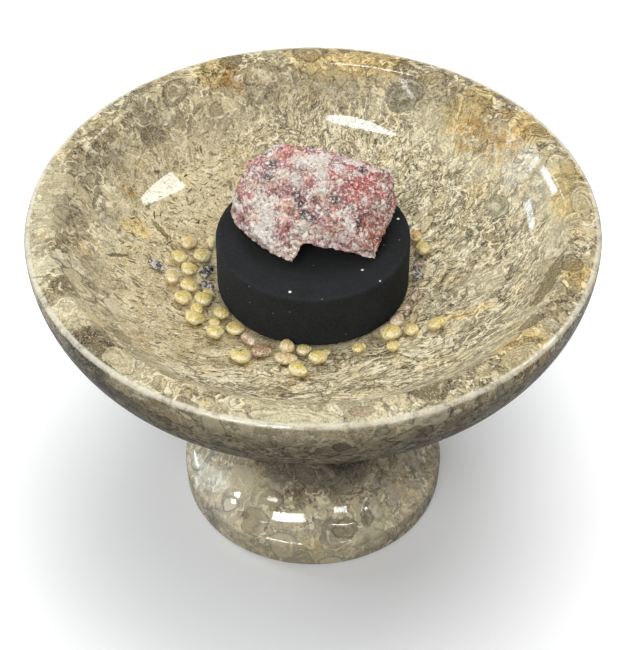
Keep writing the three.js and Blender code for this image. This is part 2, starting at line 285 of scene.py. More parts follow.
def strands(w, place, degrees, size, seed, count, width, curl=1.5):
    """Fine nested curves drawn out along one way, such as shells cut lengthways. Size is three lengths."""
    bent = w.warp(shifted(w, place, seed), max(size) * 0.8, min(size) * curl, 2.0)
    height = w.noise(w.vector("DIVIDE", turned(w, bent, -degrees), size), 1.0, 1.0, 0.5)
    wave = w.math("PINGPONG", w.math("MULTIPLY", height.outputs["Fac"], count), 1.0)
    fade = w.add("ShaderNodeSeparateColor", {"Color": height.outputs["Color"]}).outputs[1]
    return both(w, w.ramp(wave, 1 - width, 1 - width * 0.4), w.ramp(fade, 0.4, 0.52, 0.1, 1.0))


def round_shells(w, skin, place, size, share, seed):
    """Whole shells cut across: uneven discs with a dark line round them and a few worn growth lines."""
    bent = w.warp(w.warp(shifted(w, place, seed), size * 0.9, size * 0.3, 1.0), size * 0.2, size * 0.04)
    cell = w.cells(bent, size)
    red, green, blue = lots(w, cell)
    kept = w.ramp(red, share + 0.01, share - 0.01)
    reach = w.ramp(green, 0.0, 1.0, 0.3, 0.5)
    away = w.math("DIVIDE", cell.outputs["Distance"], reach)
    inside = both(w, kept, w.ramp(away, 1.0, 0.92))
    body = w.mix(w.ramp(blue, 0.2, 0.6), STONE["shade"], STONE["base"])
    body = w.mix(w.ramp(blue, 0.6, 0.75), body, STONE["light"])
    body = w.mix(w.ramp(blue, 0.86, 0.9, 0.0, 0.7), body, STONE["cream"])
    skin = w.mix(both(w, kept, w.ramp(away, 1.16, 1.02), 0.75), skin, STONE["dark"])
    skin = w.mix(both(w, inside, 0.72), skin, body)
    worn = w.noise(shifted(w, place, seed), 2.4, 2.0).outputs["Fac"]
    rings = w.math("SINE", w.math("MULTIPLY", w.math("ADD", away, w.math("MULTIPLY", worn, 0.5)), 15.0))
    lined = both(w, inside, w.ramp(green, 0.45, 0.6), w.ramp(worn, 0.42, 0.6))
    skin = w.mix(both(w, lined, w.ramp(rings, 0.2, 1.0), 0.6), skin, STONE["cream"])
    return w.mix(both(w, lined, w.ramp(rings, -0.3, -1.0), 0.5), skin, STONE["dark"])


def packed_shells(w, skin, place, size, share, seed, strength=1.0, outline=0.75):
    """Shells lying against each other, each with its own tone and a fine dark edge. Size is three lengths."""
    reach = min(size)
    bent = w.warp(shifted(w, place, seed), reach * 1.6, reach * 0.5, 2.0)
    bent = w.vector("DIVIDE", w.warp(bent, reach * 0.4, reach * 0.08, 2.0), size)
    cell = w.cells(bent, 1.0)
    edge = w.cells(bent, 1.0, "DISTANCE_TO_EDGE").outputs["Distance"]
    red, green, blue = lots(w, cell)
    kept = both(w, w.ramp(red, share + 0.01, share - 0.01), strength)
    body = w.mix(w.ramp(green, 0.1, 0.9), STONE["shade"], STONE["light"])
    body = w.mix(w.ramp(blue, 0.7, 0.8, 0.0, 0.8), body, STONE["grey"])
    body = w.mix(w.ramp(blue, 0.9, 0.94, 0.0, 0.8), body, STONE["cream"])
    skin = w.mix(both(w, kept, w.ramp(edge, 0.03, 0.07), 0.72), skin, body)
    return w.mix(both(w, kept, w.ramp(edge, 0.07, 0.03), outline), skin, STONE["dark"])


def drawn_shell(w, skin, place, centre, size, degrees, body, rings):
    """One shell at its own place. Size is half its length, half its width and its depth."""
    local = w.vector("DIVIDE", turned(w, w.vector("SUBTRACT", place, centre), -degrees), size)
    uneven = w.noise(place, 3.0, 3.0, 0.6).outputs["Fac"]
    away = w.math("ADD", w.vector("LENGTH", local), w.math("MULTIPLY", w.math("SUBTRACT", uneven, 0.5), 0.9))
    skin = w.mix(both(w, w.ramp(away, 1.14, 1.02), 0.55), skin, STONE["dark"])
    inside = w.ramp(away, 1.02, 0.94)
    skin = w.mix(both(w, inside, 0.75), skin, colour(body))
    if rings:
        # growth lines, drawn together towards one end of the shell
        lopsided = w.math("ADD", away, w.vector("DOT_PRODUCT", local, (0.5, 0.3, 0.0)))
        wave = w.math("SINE", w.math("MULTIPLY", lopsided, rings))
        seen = w.ramp(uneven, 0.4, 0.6, 0.2, 1.0)
        skin = w.mix(both(w, inside, seen, w.ramp(wave, 0.1, 1.0), 0.5), skin, STONE["cream"])
        skin = w.mix(both(w, inside, seen, w.ramp(wave, -0.3, -1.0), 0.4), skin, STONE["dark"])
    return skin


def bedding(w, place, centre=(0, 60, 0), run=75.0):
    """Place bent so that X follows arcs round a far centre, as the shell beds do in the dish."""
    x, y, z = parts_of(w, w.vector("SUBTRACT", place, centre))
    along = w.math("MULTIPLY", w.math("ARCTAN2", x, w.math("MULTIPLY", y, -1.0)), run)
    return w.add("ShaderNodeCombineXYZ", {0: along, 1: from_axis(w, x, y), 2: z}).outputs[0]


def coarse_beds(w, place, broad, outline):
    """The lip, the outside and the foot: whole shells, curls and broken pieces in a speckled ground."""
    skin = w.mix(w.ramp(broad, 0.38, 0.6), STONE["shade"], STONE["base"])
    blotch = w.noise(shifted(w, place, (4.0, 7.0, 1.0)), 3.4, 3.0, 0.6).outputs["Fac"]
    skin = w.mix(w.ramp(blotch, 0.52, 0.62, 0.0, 0.75), skin, STONE["light"])
    skin = w.mix(w.ramp(blotch, 0.46, 0.36, 0.0, 0.6), skin, STONE["umber"])
    mottle = w.noise(place, 1.4, 3.0, 0.7).outputs["Fac"]
    skin = w.mix(w.ramp(mottle, 0.54, 0.66, 0.0, 0.5), skin, STONE["cream"])
    skin = w.mix(w.ramp(mottle, 0.46, 0.34, 0.0, 0.5), skin, STONE["dark"])
    skin = packed_shells(w, skin, place, (6.5, 5.0, 6.0), 0.5, (5.0, 13.0, 2.0), 0.85, outline)
    askew = turned(w, place, 30.0)
    skin = packed_shells(w, skin, askew, (4.6, 2.0, 3.6), 0.3, (25.0, 3.0, 12.0), 0.85, outline)
    curls = strands(w, place, 20.0, (6.0, 3.4, 4.6), (1.0, 2.0, 3.0), 7.0, 0.3)
    skin = w.mix(both(w, curls, 0.85), skin, STONE["cream"])
    inked = strands(w, place, -35.0, (5.5, 3.0, 4.2), (9.0, 42.0, 2.0), 6.0, 0.24)
    skin = w.mix(both(w, inked, 0.7), skin, STONE["dark"])
    fine = strands(w, place, 70.0, (3.4, 1.5, 2.4), (19.0, 12.0, 7.0), 5.0, 0.3)
    skin = w.mix(both(w, fine, 0.6), skin, STONE["light"])
    loose = w.warp(shifted(w, place, (3.0, 50.0, 8.0)), 4.0, 2.2, 1.0)
    skin = fragments(w, skin, loose, (1.4, 4.0, 2.4), 0.2, STONE["cream"], STONE["shade"], 0.9)
    return round_shells(w, skin, place, 7.5, 0.55, (11.0, 3.0, 7.0))


def dish_beds(w, place, broad):
    """The floor of the dish: fine shell sand on the left, broken shells and curls at the right and front."""
    x, y = parts_of(w, place)[:2]
    rightward = w.math("ADD", w.math("MULTIPLY", x, 1.1), w.math("MULTIPLY", y, 0.5))
    frontward = w.math("SUBTRACT", w.math("MULTIPLY", x, 0.35), y)
    lively = w.math("MAXIMUM", w.ramp(rightward, -14.0, 18.0), w.ramp(frontward, 18.0, 26.0, 0.0, 0.95))

    def livelier(quiet, loud):
        return w.ramp(lively, 0.0, 1.0, quiet, loud)

    skin = w.mix(w.ramp(broad, 0.38, 0.62), STONE["base"], STONE["light"])
    soft = w.noise(shifted(w, place, (8.0, 2.0, 5.0)), 3.0, 3.0, 0.6).outputs["Fac"]
    skin = w.mix(w.ramp(soft, 0.52, 0.66, 0.0, 0.45), skin, STONE["cream"])
    skin = w.mix(w.ramp(soft, 0.48, 0.34, 0.0, 0.5), skin, STONE["shade"])
    grain = w.noise(place, 0.8, 3.0, 0.75).outputs["Fac"]
    skin = w.mix(both(w, w.ramp(grain, 0.53, 0.66), livelier(0.4, 0.6)), skin, STONE["cream"])
    skin = w.mix(both(w, w.ramp(grain, 0.47, 0.34), livelier(0.45, 0.6)), skin, STONE["shade"])
    beds = w.warp(bedding(w, place), 9.0, 4.0, 2.0)
    askew = turned(w, w.warp(place, 9.0, 4.0, 1.0), -52.0)
    bands = w.noise(w.vector("DIVIDE", askew, (15.0, 5.0, 9.0)), 1.0, 2.0, 0.6).outputs["Fac"]
    skin = w.mix(both(w, w.ramp(bands, 0.5, 0.6), livelier(0.15, 0.7)), skin, STONE["taupe"])
    skin = w.mix(both(w, w.ramp(bands, 0.44, 0.36), livelier(0.1, 0.5)), skin, STONE["light"])
    skin = packed_shells(w, skin, askew, (9.0, 3.0, 5.0), 0.6, (15.0, 33.0, 22.0), lively, 0.5)
    skin = packed_shells(w, skin, beds, (4.4, 1.7, 3.0), 0.35, (65.0, 3.0, 2.0), livelier(0.25, 0.85), 0.5)
    for flow, size, seed, count, width, tone, quiet, loud in (
            (askew, (10.0, 3.0, 5.0), (1.0, 2.0, 3.0), 7.0, 0.26, "cream", 0.0, 0.85),
            (askew, (9.0, 2.6, 4.6), (7.0, 22.0, 5.0), 6.0, 0.16, "dark", 0.0, 0.8),
            (beds, (7.0, 2.2, 3.8), (15.0, 8.0, 3.0), 6.0, 0.26, "cream", 0.2, 0.8),
            (beds, (6.5, 2.0, 3.6), (31.0, 5.0, 9.0), 5.0, 0.15, "dark", 0.1, 0.85),
            (askew, (3.6, 1.2, 2.4), (41.0, 12.0, 5.0), 5.0, 0.26, "cream", 0.1, 0.6),
            (beds, (3.2, 1.1, 2.2), (3.0, 52.0, 15.0), 5.0, 0.2, "dark", 0.1, 0.55)):
        curls = strands(w, flow, 0.0, size, seed, count, width)
        skin = w.mix(both(w, curls, livelier(quiet, loud)), skin, STONE[tone])
    calmer = livelier(1.0, 0.6)
    fanned = turned(w, beds, 25.0)
    for flow, seed, size, share, body, outline, strength in (
            (beds, (40.0, 13.0, 3.0), (1.8, 0.7, 1.4), 0.22, "cream", "base", 0.85),
            (askew, (4.0, 63.0, 3.0), (6.0, 1.9, 3.0), 0.2, "light", "dark", lively),
            (fanned, (70.0, 33.0, 3.0), (2.6, 0.75, 1.8), 0.18, "shade", "umber", calmer),
            (beds, (11.0, 3.0, 8.0), (2.2, 0.45, 1.4), 0.2, "umber", "shade", calmer),
            (askew, (31.0, 7.0, 3.0), (1.8, 0.4, 1.2), 0.16, "dark", "shade", calmer),
            (beds, (7.0, 23.0, 1.0), (5.0, 0.9, 2.4), 0.12, "shade", "dark", 0.8)):
        skin = fragments(w, skin, shifted(w, flow, seed), size, share, STONE[body], STONE[outline], strength)
    return skin


def patches(w, skin, place, spots, strength, tone):
    """Ragged patches whose colour is multiplied by a tone."""
    stain = largest(w, [blob(w, place, centre, size) for centre, size in spots])
    return toned(w, both(w, stain, strength), skin, tone)


def mottled(w, place):
    return w.noise(place, 3.0, 3.0, 0.7).outputs["Fac"]


def outside_beds(w, skin, place, outside):
    """The bowl's outside: a darker stone than its dish under painted shade, darkest low down and on the left.
    """
    x, y, z = parts_of(w, place)
    shown = both(w, outside, 0.8)
    skin = packed_shells(w, skin, place, (5.0, 5.0, 3.6), 0.5, (45.0, 3.0, 62.0), shown, 0.75)
    flecks = strands(w, place, 10.0, (5.0, 4.0, 2.2), (71.0, 2.0, 3.0), 6.0, 0.24, 1.2)
    skin = w.mix(both(w, outside, flecks, 0.8), skin, STONE["cream"])
    skin = toned(w, both(w, outside, 0.92), skin, OUTSIDE_TONE_AND_SHADE)
    # painted shade on the left side and low on the belly
    left = both(w, outside, w.ramp(x, -22.0, -42.0), w.ramp(y, 10.0, -10.0))
    skin = toned(w, both(w, left, 0.7), skin, LEFT_SHADE)
    return toned(w, both(w, outside, w.ramp(z, 66.0, 56.0), 0.6), skin, BELLY_SHADE)


def foot_beds(w, skin, place, broad):
    """The foot's bedding: painted light low down, a painted window reflection on the left, and towards the
    neck smoky stone under painted shade, with slanting veins.
    """
    x, y, z = parts_of(w, place)
    # painted light low on the foot, and on its left a painted bluish window reflection
    skin = toned(w, w.ramp(z, 18.0, 9.0), skin, FOOT_PAINTED_LIGHT, "ADD")
    skin = toned(w, w.ramp(x, -12.0, -20.0, 0.0, 0.8), skin, FOOT_LEFT_PAINTED_REFLECTION, "ADD")
    # towards the neck, smoky stone with painted shade over it, where the bowl hangs above
    level = w.math("ADD", z, w.math("MULTIPLY", w.math("SUBTRACT", broad, 0.5), 18.0))
    shaded_neck = both(w, w.ramp(level, 14.0, 17.5), w.ramp(x, -16.0, -8.0), w.ramp(x, 24.0, 16.0))
    smoke_and_shade = w.mix(w.ramp(mottled(w, place), 0.4, 0.6), STONE["smoke_and_shade"], STONE["thin smoke"])
    skin = w.mix(both(w, shaded_neck, 0.72), skin, smoke_and_shade)
    slant = w.math("ADD", x, w.math("MULTIPLY", z, 0.7))
    slanted = w.add("ShaderNodeCombineXYZ", {0: slant, 1: y, 2: z}).outputs[0]
    veins = strands(w, slanted, 0.0, (5.0, 9.0, 9.0), (2.0, 33.0, 8.0), 5.0, 0.3, 1.4)
    return w.mix(both(w, veins, 0.6), skin, STONE["vein"])


def rim_edge_highlight(w, skin, place, radius, height):
    """A painted highlight: the pale line along the outer edge of the lip."""
    profile = w.add("ShaderNodeCombineXYZ", {0: radius, 1: height}).outputs[0]
    edge = w.vector("DISTANCE", profile, (RIM_RADIUS - 0.5, RIM_HEIGHT + 0.1, 0.0))
    worn = both(w, w.ramp(edge, 0.85, 0.45), w.ramp(mottled(w, place), 0.38, 0.58, 0.35, 0.8))
    return w.mix(worn, skin, STONE["worn"])


def fossil_stone(name, marks, has_dish=False):
    """Polished fossil limestone. Marks are the patches and shells that lie at places of their own."""
    material, w, place = new_material(name)
    broad = w.noise(place, 14.0, 3.0, 0.6).outputs["Fac"]
    skin = coarse_beds(w, place, broad, 0.58 if has_dish else 0.3)
    x, y, z = parts_of(w, place)
    radius = from_axis(w, x, y)
    if has_dish:
        above = w.ramp(w.math("SUBTRACT", z, w.math("MULTIPLY", radius, 0.7)), 30.0, 35.0)
        leftward = w.math("ADD", x, w.math("MULTIPLY", y, -0.3))
        ragged = w.math("ADD", radius, w.math("MULTIPLY", w.math("SUBTRACT", broad, 0.5), 16.0))
        ragged = w.math("ADD", ragged, w.ramp(leftward, -12.0, -36.0, 0.0, 5.0))
        skin = w.mix(both(w, above, w.ramp(ragged, 52.0, 46.0)), skin, dish_beds(w, place, broad))
        outside = both(w, w.ramp(above, 1.0, 0.0), w.ramp(z, RIM_HEIGHT - 0.8, RIM_HEIGHT - 2.6))
        skin = outside_beds(w, skin, place, outside)
        # painted light on the dish's wall
        wall = both(w, above, w.ramp(radius, 40.0, 44.0), w.ramp(radius, 53.0, 51.0))
        skin = toned(w, both(w, wall, 0.6), skin, WALL_PAINTED_LIGHT, "ADD")
        specked = w.ramp(outside, 0.0, 1.0, 0.4, 0.15)
    else:
        skin = foot_beds(w, skin, place, broad)
        specked = 0.2
    patchy = w.warp(w.warp(place, 6.0, 3.0, 2.0), 1.4, 1.0, 3.0)
    drawn = w.warp(place, 1.8, 0.5, 2.0)
    skin = patches(w, skin, patchy, marks["dark"], 0.55, PATCH_TONES["dark"])
    pale = largest(w, [blob(w, patchy, centre, size, 0.6) for centre, size in marks["pale"]])
    skin = w.mix(both(w, pale, 0.6), skin, w.mix(0.6, skin, colour("efe4bd")))
    # painted shade and a painted dark reflection
    skin = patches(w, skin, drawn, marks["painted_dark"], 0.95, PATCH_TONES["painted_dark"])
    if has_dish:
        skin = patches(w, skin, patchy, marks["gold"], 0.9, PATCH_TONES["gold"])
        crumbly = w.noise(shifted(w, place, (2.0, 1.0, 9.0)), 2.2, 3.0, 0.7).outputs["Fac"]
        broken = w.ramp(crumbly, 0.44, 0.54, 0.15, 1.0)
        skin = patches(w, skin, patchy, marks["rust"], broken, PATCH_TONES["rust"])
    tint = w.noise(shifted(w, place, (3.0, 60.0, 9.0)), 7.0, 2.0, 0.6).outputs["Fac"]
    skin = toned(w, w.ramp(tint, 0.56, 0.72, 0.0, 0.5), skin, PATCH_TONES["warm"])
    for mark in marks["shells"]:
        skin = drawn_shell(w, skin, drawn, *mark)
    speck = w.noise(place, 0.4, 3.0, 0.8).outputs["Fac"]
    skin = w.mix(both(w, w.ramp(speck, 0.52, 0.64), specked), skin, STONE["cream"])
    skin = w.mix(both(w, w.ramp(speck, 0.48, 0.36), specked), skin, STONE["dark"])
    if has_dish:
        # painted highlight along the lip's outer edge
        skin = rim_edge_highlight(w, skin, place, radius, z)
    wave = w.noise(place, 9.0, 1.0).outputs["Fac"]
    finish_surface(w, {
        "Base Color": skin,
        "Roughness": w.ramp(tint, 0.3, 0.7, 0.36, 0.28), "Specular IOR Level": 0.0,
        "Coat Weight": 0.24, "Coat Roughness": 0.035, "Coat IOR": 1.5,
    }, wave, 0.12, 0.5)
    return material


# Pale crumbs lying on the charcoal tablet: where they are and their radius.
CRUMBS = (
    ((-4.6, -17.4, 72.3), 0.3), ((9.9, -10.9, 72.2), 0.28), ((17.6, 4.6, 72.3), 0.28),
    ((13.4, -14.2, 72.3), 0.2),
)


def charcoal_material():
    """Pressed charcoal: matte, near black, with a powdery grain, a darker top, painted shade in the recess
    under the lump and a few pale specks.
    """
    material, w, place = new_material("pressed charcoal")
    grain = w.noise(place, 0.5, 4.0, 0.75).outputs["Fac"]
    broad = w.noise(place, 6.0, 2.0).outputs["Fac"]
    skin = w.mix(w.ramp(grain, 0.3, 0.7), colour("0e0f10"), colour("242627"))
    skin = w.mix(w.ramp(broad, 0.35, 0.7, 0.0, 0.3), skin, colour("2c2f32"))
    x, y, z = parts_of(w, place)
    radius = from_axis(w, x, y)
    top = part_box("charcoal_tablet")[1].z / MM
    off_edge = w.ramp(radius, TABLET_RADIUS - 0.2, TABLET_RADIUS - 1.2)
    pressed = both(w, w.ramp(z, top - 0.9, top - 0.1), off_edge)
    skin = w.mix(both(w, pressed, 0.35), skin, colour("0c0d0e"))
    # painted shade in the recess, under the lump
    recess = w.ramp(radius, RECESS_RADIUS + 0.5, RECESS_RADIUS - 2.5)
    skin = w.mix(both(w, recess, w.ramp(z, top - 4.0, top - 3.0), 0.5), skin, colour("0a0b0c"))
    dust = w.cells(place, 1.6)
    fleck = both(w, w.ramp(dust.outputs["Distance"], 0.14, 0.08), w.ramp(lots(w, dust)[0], 0.14, 0.1))
    skin = w.mix(both(w, fleck, 0.45), skin, colour("9a9b9c"))
    crumbs = largest(w, [blob(w, place, centre, size, 0.2) for centre, size in CRUMBS])
    skin = w.mix(crumbs, skin, colour("f2f0ea"))
    finish_surface(w, {"Base Color": skin, "Roughness": 0.93, "Specular IOR Level": 0.12}, grain, 0.05, 0.6)
    return material


# The lump's fields of one colour: where they are and their radius, or their three radii.
WHITE_CLUMPS = (
    ((-10.3, -1.4, 80.5), 2.6), ((-10.3, -4.2, 78.4), 2.4), ((-9.1, -6.5, 76.4), 1.8),
    ((1.4, 5.4, 87.4), 1.9), ((-1.0, 5.1, 87.7), 1.8), ((1.4, -0.9, 84.8), 1.7),
    ((-2.2, -5.9, 79.1), 1.6), ((7.4, -6.6, 79.8), 1.4),
    ((5.8, -7.8, 77.6), 1.3), ((1.6, 2.4, 86.0), 1.6), ((-3.4, 1.6, 85.0), 1.5),
)
CRIMSON_CLUMPS = (
    ((10.5, 4.0, 85.5), 3.2), ((9.4, -0.6, 84.6), 2.6), ((7.4, -2.0, 84.2), 1.6), ((3.8, 2.2, 86.9), 1.1),
    ((-5.9, 8.7, 87.9), 2.2), ((3.0, -6.9, 78.9), 1.4), ((14.0, 1.0, 83.5), 2.0), ((-13.8, 2.0, 80.4), 1.6),
)
DARK_CLUMPS_AND_HOLLOW_SHADOW = (
    ((-3.6, -1.1, 83.7), 1.2), ((-4.0, -3.0, 81.9), 1.0), ((-1.8, -4.1, 81.2), 1.2),
    ((-0.2, -5.1, 80.6), 1.1), ((4.6, -2.7, 83.7), 1.2), ((-8.3, 5.8, 86.3), 1.2),
    ((-9.1, 3.6, 84.8), 1.1), ((9.9, 4.9, 85.8), 1.1),
    # The three patches with three radii lie along the rusty hollow's upper and left edge and are painted
    # shadow.
    ((12.4, 3.4, 85.4), 0.9), ((9.8, -3.9, 81.8), (1.3, 0.9, 0.5)), ((11.8, -3.7, 81.1), (1.4, 0.9, 0.5)),
    ((9.2, -5.6, 80.2), (0.5, 1.4, 1.2)), ((10.3, 5.0, 85.7), 1.2), ((-2.6, -2.6, 82.4), 0.9),
)
RUSTY_CLUMPS = (((11.4, -5.1, 80.0), 2.2), ((12.7, -6.7, 77.6), 2.2), ((11.8, -8.5, 76.6), 1.6))


def mineral_material():
    """Rough pink stone: sugary grains over fields of rose, white and coral, dark clusters, a rusty hollow,
    with painted highlights on the crystals, painted shade in the gaps between them and a painted shadow along
    the hollow's upper edge.
    """
    material, w, place = new_material("rough pink mineral")
    broad = w.noise(place, 4.2, 2.0, 0.6)
    hues = w.add("ShaderNodeSeparateColor", {"Color": broad.outputs["Color"]}).outputs
    ragged = w.warp(w.warp(place, 3.0, 1.4, 2.0), 0.8, 0.6, 2.0)

    def clumps(spots):
        return largest(w, [blob(w, ragged, centre, size, 0.6) for centre, size in spots])

    white, crimson, rusty = [clumps(c) for c in (WHITE_CLUMPS, CRIMSON_CLUMPS, RUSTY_CLUMPS)]
    near = w.warp(place, 0.9, 0.45, 2.0)
    # dark clusters, with the painted shadow along the hollow's edge
    dark = largest(w, [blob(w, near, centre, size, 0.3) for centre, size in DARK_CLUMPS_AND_HOLLOW_SHADOW])
    skin = w.mix(w.ramp(hues[0], 0.42, 0.58), colour("c58f8e"), colour("f0c8b2"))
    skin = w.mix(w.ramp(hues[1], 0.52, 0.64, 0.0, 0.75), skin, colour("f8eee0"))
    skin = w.mix(w.ramp(hues[2], 0.53, 0.63, 0.0, 0.65), skin, colour("ad5f62"))
    skin = w.mix(w.ramp(hues[1], 0.46, 0.36, 0.0, 0.5), skin, colour("d88272"))
    x, _, z = parts_of(w, ragged)
    skin = w.mix(w.ramp(x, 2.0, 9.0, 0.0, 0.5), skin, colour("ac685f"))
    skin = w.mix(both(w, crimson, 0.8), skin, colour("d0625a"))
    skin = w.mix(both(w, white, 0.8), skin, colour("f2f0e2"))
    rust = w.mix(w.ramp(hues[0], 0.42, 0.58), colour("7a3018"), colour("c06038"))
    skin = w.mix(both(w, rusty, 0.85), skin, rust)
    grit = w.warp(place, 1.2, 0.6, 2.0)
    cell = w.cells(grit, 1.5)
    red, green, blue = lots(w, cell)
    plain = w.math("SUBTRACT", 1.0, w.math("MAXIMUM", dark, rusty))
    # white crystal cells, partly painted glints
    skin = w.mix(both(w, w.ramp(red, 0.66, 0.74), plain, 0.7), skin, colour("fdf4ea"))
    skin = w.mix(both(w, w.ramp(green, 0.76, 0.84), w.ramp(white, 1.0, 0.2), 0.6), skin, colour("96504a"))
    skin = w.mix(both(w, dark, w.ramp(blue, 0.25, 0.35, 0.45, 0.9)), skin, colour("3b3634"))
    skin = w.mix(w.ramp(z, 75.4, 74.4, 0.0, 0.7), skin, colour("ecd9cc"))
    # sugary grain: painted highlights on the crystal tops and painted shade in the dark red-brown gaps
    gaps = w.cells(near, 1.1, "DISTANCE_TO_EDGE").outputs["Distance"]
    fine = w.noise(place, 0.6, 3.0, 0.7).outputs["Fac"]
    some = w.noise(shifted(w, place, (7.0, 3.0, 1.0)), 1.9, 2.0, 0.6).outputs["Fac"]
    skin = w.mix(both(w, w.ramp(fine, 0.53, 0.6), 0.8), skin, colour("fffaf4"))
    skin = toned(w, both(w, w.ramp(fine, 0.45, 0.37), 0.8), skin, (0.3, 0.17, 0.14))
    painted_dark = both(w, w.ramp(gaps, 0.09, 0.02), w.ramp(some, 0.47, 0.57), w.ramp(white, 0.6, 0.1, 0.25, 1.0))
    shadow = w.mix(w.math("MAXIMUM", dark, rusty), colour("5a2c28"), colour("1c1715"))
    skin = w.mix(both(w, painted_dark, 0.8), skin, shadow)
    relief = w.math("ADD", w.math("MULTIPLY", fine, 1.6), w.math("MULTIPLY", cell.outputs["Distance"], -1.6))
    relief = w.math("ADD", relief, w.ramp(gaps, 0.0, 0.12, 0.0, 0.5))
    finish_surface(w, {"Base Color": skin, "Roughness": 0.45, "Specular IOR Level": 0.25}, relief, 0.2, 1.0)
    return material


def resin_material(name, heart, body):
    """Dusty resin: a warm translucent middle under a pale, sugary, powdered skin, with painted shade at its
    outer edge.
    """
    material, w, place = new_material(name)
    rim = w.add("ShaderNodeAttribute", attribute_name="rim").outputs["Fac"]
    cloud = w.noise(place, 0.9, 3.0, 0.7).outputs["Fac"]
    dust = w.noise(place, 0.34, 2.0, 0.7).outputs["Fac"]
    gum = w.mix(1.0, colour(heart), (0.74, 0.66, 0.46, 1), "MULTIPLY")
    warmth = w.math("ADD", rim, w.math("MULTIPLY", w.math("SUBTRACT", cloud, 0.5), 2.4))
    skin = w.mix(w.ramp(warmth, 0.45, 0.85), colour(heart), colour(body))
    skin = w.mix(w.ramp(cloud, 0.44, 0.34, 0.0, 0.5), skin, gum)
    skin = w.mix(w.ramp(dust, 0.53, 0.62, 0.0, 0.55), skin, colour("fbf0ca"))
    skin = w.mix(w.ramp(dust, 0.46, 0.38, 0.0, 0.5), skin, gum)
    crust = both(w, w.ramp(rim, 0.74, 0.84), w.ramp(rim, 0.98, 0.9))
    skin = w.mix(both(w, crust, w.ramp(cloud, 0.4, 0.55), 0.7), skin, colour("fbf3d6"))
    # painted shade at the outer edge, where the grain meets what it lies on
    skin = w.mix(w.ramp(rim, 0.98, 1.08, 0.0, 0.6), skin, gum)
    relief = w.math("ADD", w.math("MULTIPLY", dust, 1.2), w.cells(place, 0.6).outputs["Distance"])
    finish_surface(w, {
        "Base Color": skin, "Roughness": 0.4,
        "Subsurface Weight": 0.15, "Subsurface Radius": (1.0, 0.7, 0.3), "Subsurface Scale": 0.6 * MM,
    }, relief, 0.2, 1.0)
    return material


def chip_material(name, body, crust):
    """A splinter with a frosted crust over part of it."""
    material, w, place = new_material(name)
    cloud = w.noise(place, 0.9, 4.0, 0.75).outputs["Fac"]
    skin = w.mix(w.ramp(cloud, 0.49, 0.55), colour(body), colour(crust))
    fine = w.noise(place, 0.3, 2.0, 0.7).outputs["Fac"]
    finish_surface(w, {"Base Color": skin, "Roughness": w.ramp(cloud, 0.4, 0.6, 0.25, 0.7)}, fine, 0.1, 0.8)
    return material


def adhesive_material():
    """Stone adhesive: a cloudy cream filler."""
    material, w, place = new_material("stone adhesive")
    cloud = w.noise(place, 1.5, 3.0, 0.6).outputs["Fac"]
    skin = w.mix(w.ramp(cloud, 0.35, 0.65), colour("b9ae90"), colour("d6cdb2"))
    finish_surface(w, {"Base Color": skin, "Roughness": 0.5}, cloud, 0.03, 0.5)
    return material


def geometry_tree(name, sizes):
    """A Geometry Nodes tree with named length inputs in millimetres, turned into metres inside."""
    tree = bpy.data.node_groups.new(name, "GeometryNodeTree")
    face = tree.interface
    face.new_socket("Geometry", in_out="INPUT", socket_type="NodeSocketGeometry")
    face.new_socket("Geometry", in_out="OUTPUT", socket_type="NodeSocketGeometry")
    for size in sizes:
        kind = "NodeSocketInt" if size in ("Sides", "Seed") else "NodeSocketFloat"
        face.new_socket(size, in_out="INPUT", socket_type=kind)
    face.new_socket("Material", in_out="INPUT", socket_type="NodeSocketMaterial")
    w = Wiring(tree)
    return w, w.add("NodeGroupInput").outputs


def close_tree(w, geometry, material, smooth=True):
    """Every tree ends in realised instances with their material."""
    real = w.add("GeometryNodeRealizeInstances", {0: geometry})
    shaded = w.add("GeometryNodeSetShadeSmooth", {0: real.outputs[0], "Shade Smooth": smooth})
    dressed = w.add("GeometryNodeSetMaterial", {"Geometry": shaded.outputs[0], "Material": material})
    w.add("NodeGroupOutput", {0: dressed.outputs[0]})


def run_tree(w, name, values, start=None):
    """Runs a tree on a start mesh and returns the result as a plain mesh object at the origin."""
    obj = bpy.data.objects.new(name, start or bpy.data.meshes.new(name))
    scene.collection.objects.link(obj)
    modifier = obj.modifiers.new("form", "NODES")
    modifier.node_group = w.tree
    for item in w.tree.interface.items_tree:
        if item.in_out == "INPUT" and item.name in values:
            modifier[item.identifier] = values[item.name]
    graph = bpy.context.evaluated_depsgraph_get()
    graph.update()
    mesh = bpy.data.meshes.new_from_object(obj.evaluated_get(graph), depsgraph=graph)
    obj.modifiers.clear()
    obj.data = mesh
    mesh.name = name
    return obj


def turn(w, runs, sides):
    """Turns runs of a profile, drawn as (radius, height), round the Z axis into one closed skin."""
    axis_gap = 1.0
    profile = w.add("GeometryNodeJoinGeometry")
    for run in reversed(runs):
        w.tree.links.new(run, profile.inputs[0])
    moved = w.add("GeometryNodeTransform", {
        "Geometry": profile.outputs[0], "Translation": (-axis_gap, 0, 0), "Scale": (1, -1, 1)})
    circle = w.add("GeometryNodeCurvePrimitiveCircle", {"Resolution": sides, "Radius": axis_gap})
    skin = w.add("GeometryNodeCurveToMesh", {"Curve": circle.outputs[0], "Profile Curve": moved.outputs[0]})
    outward = w.add("GeometryNodeFlipFaces", {0: skin.outputs[0]})
    metres = w.add("GeometryNodeTransform", {"Geometry": outward.outputs[0], "Scale": (MM, MM, MM)})
    return w.add("GeometryNodeMergeByDistance", {
        "Geometry": metres.outputs[0], "Distance": 0.002 * MM}).outputs[0]


def spot(w, radius, height):
    return w.add("ShaderNodeCombineXYZ", {0: radius, 1: height}).outputs[0]


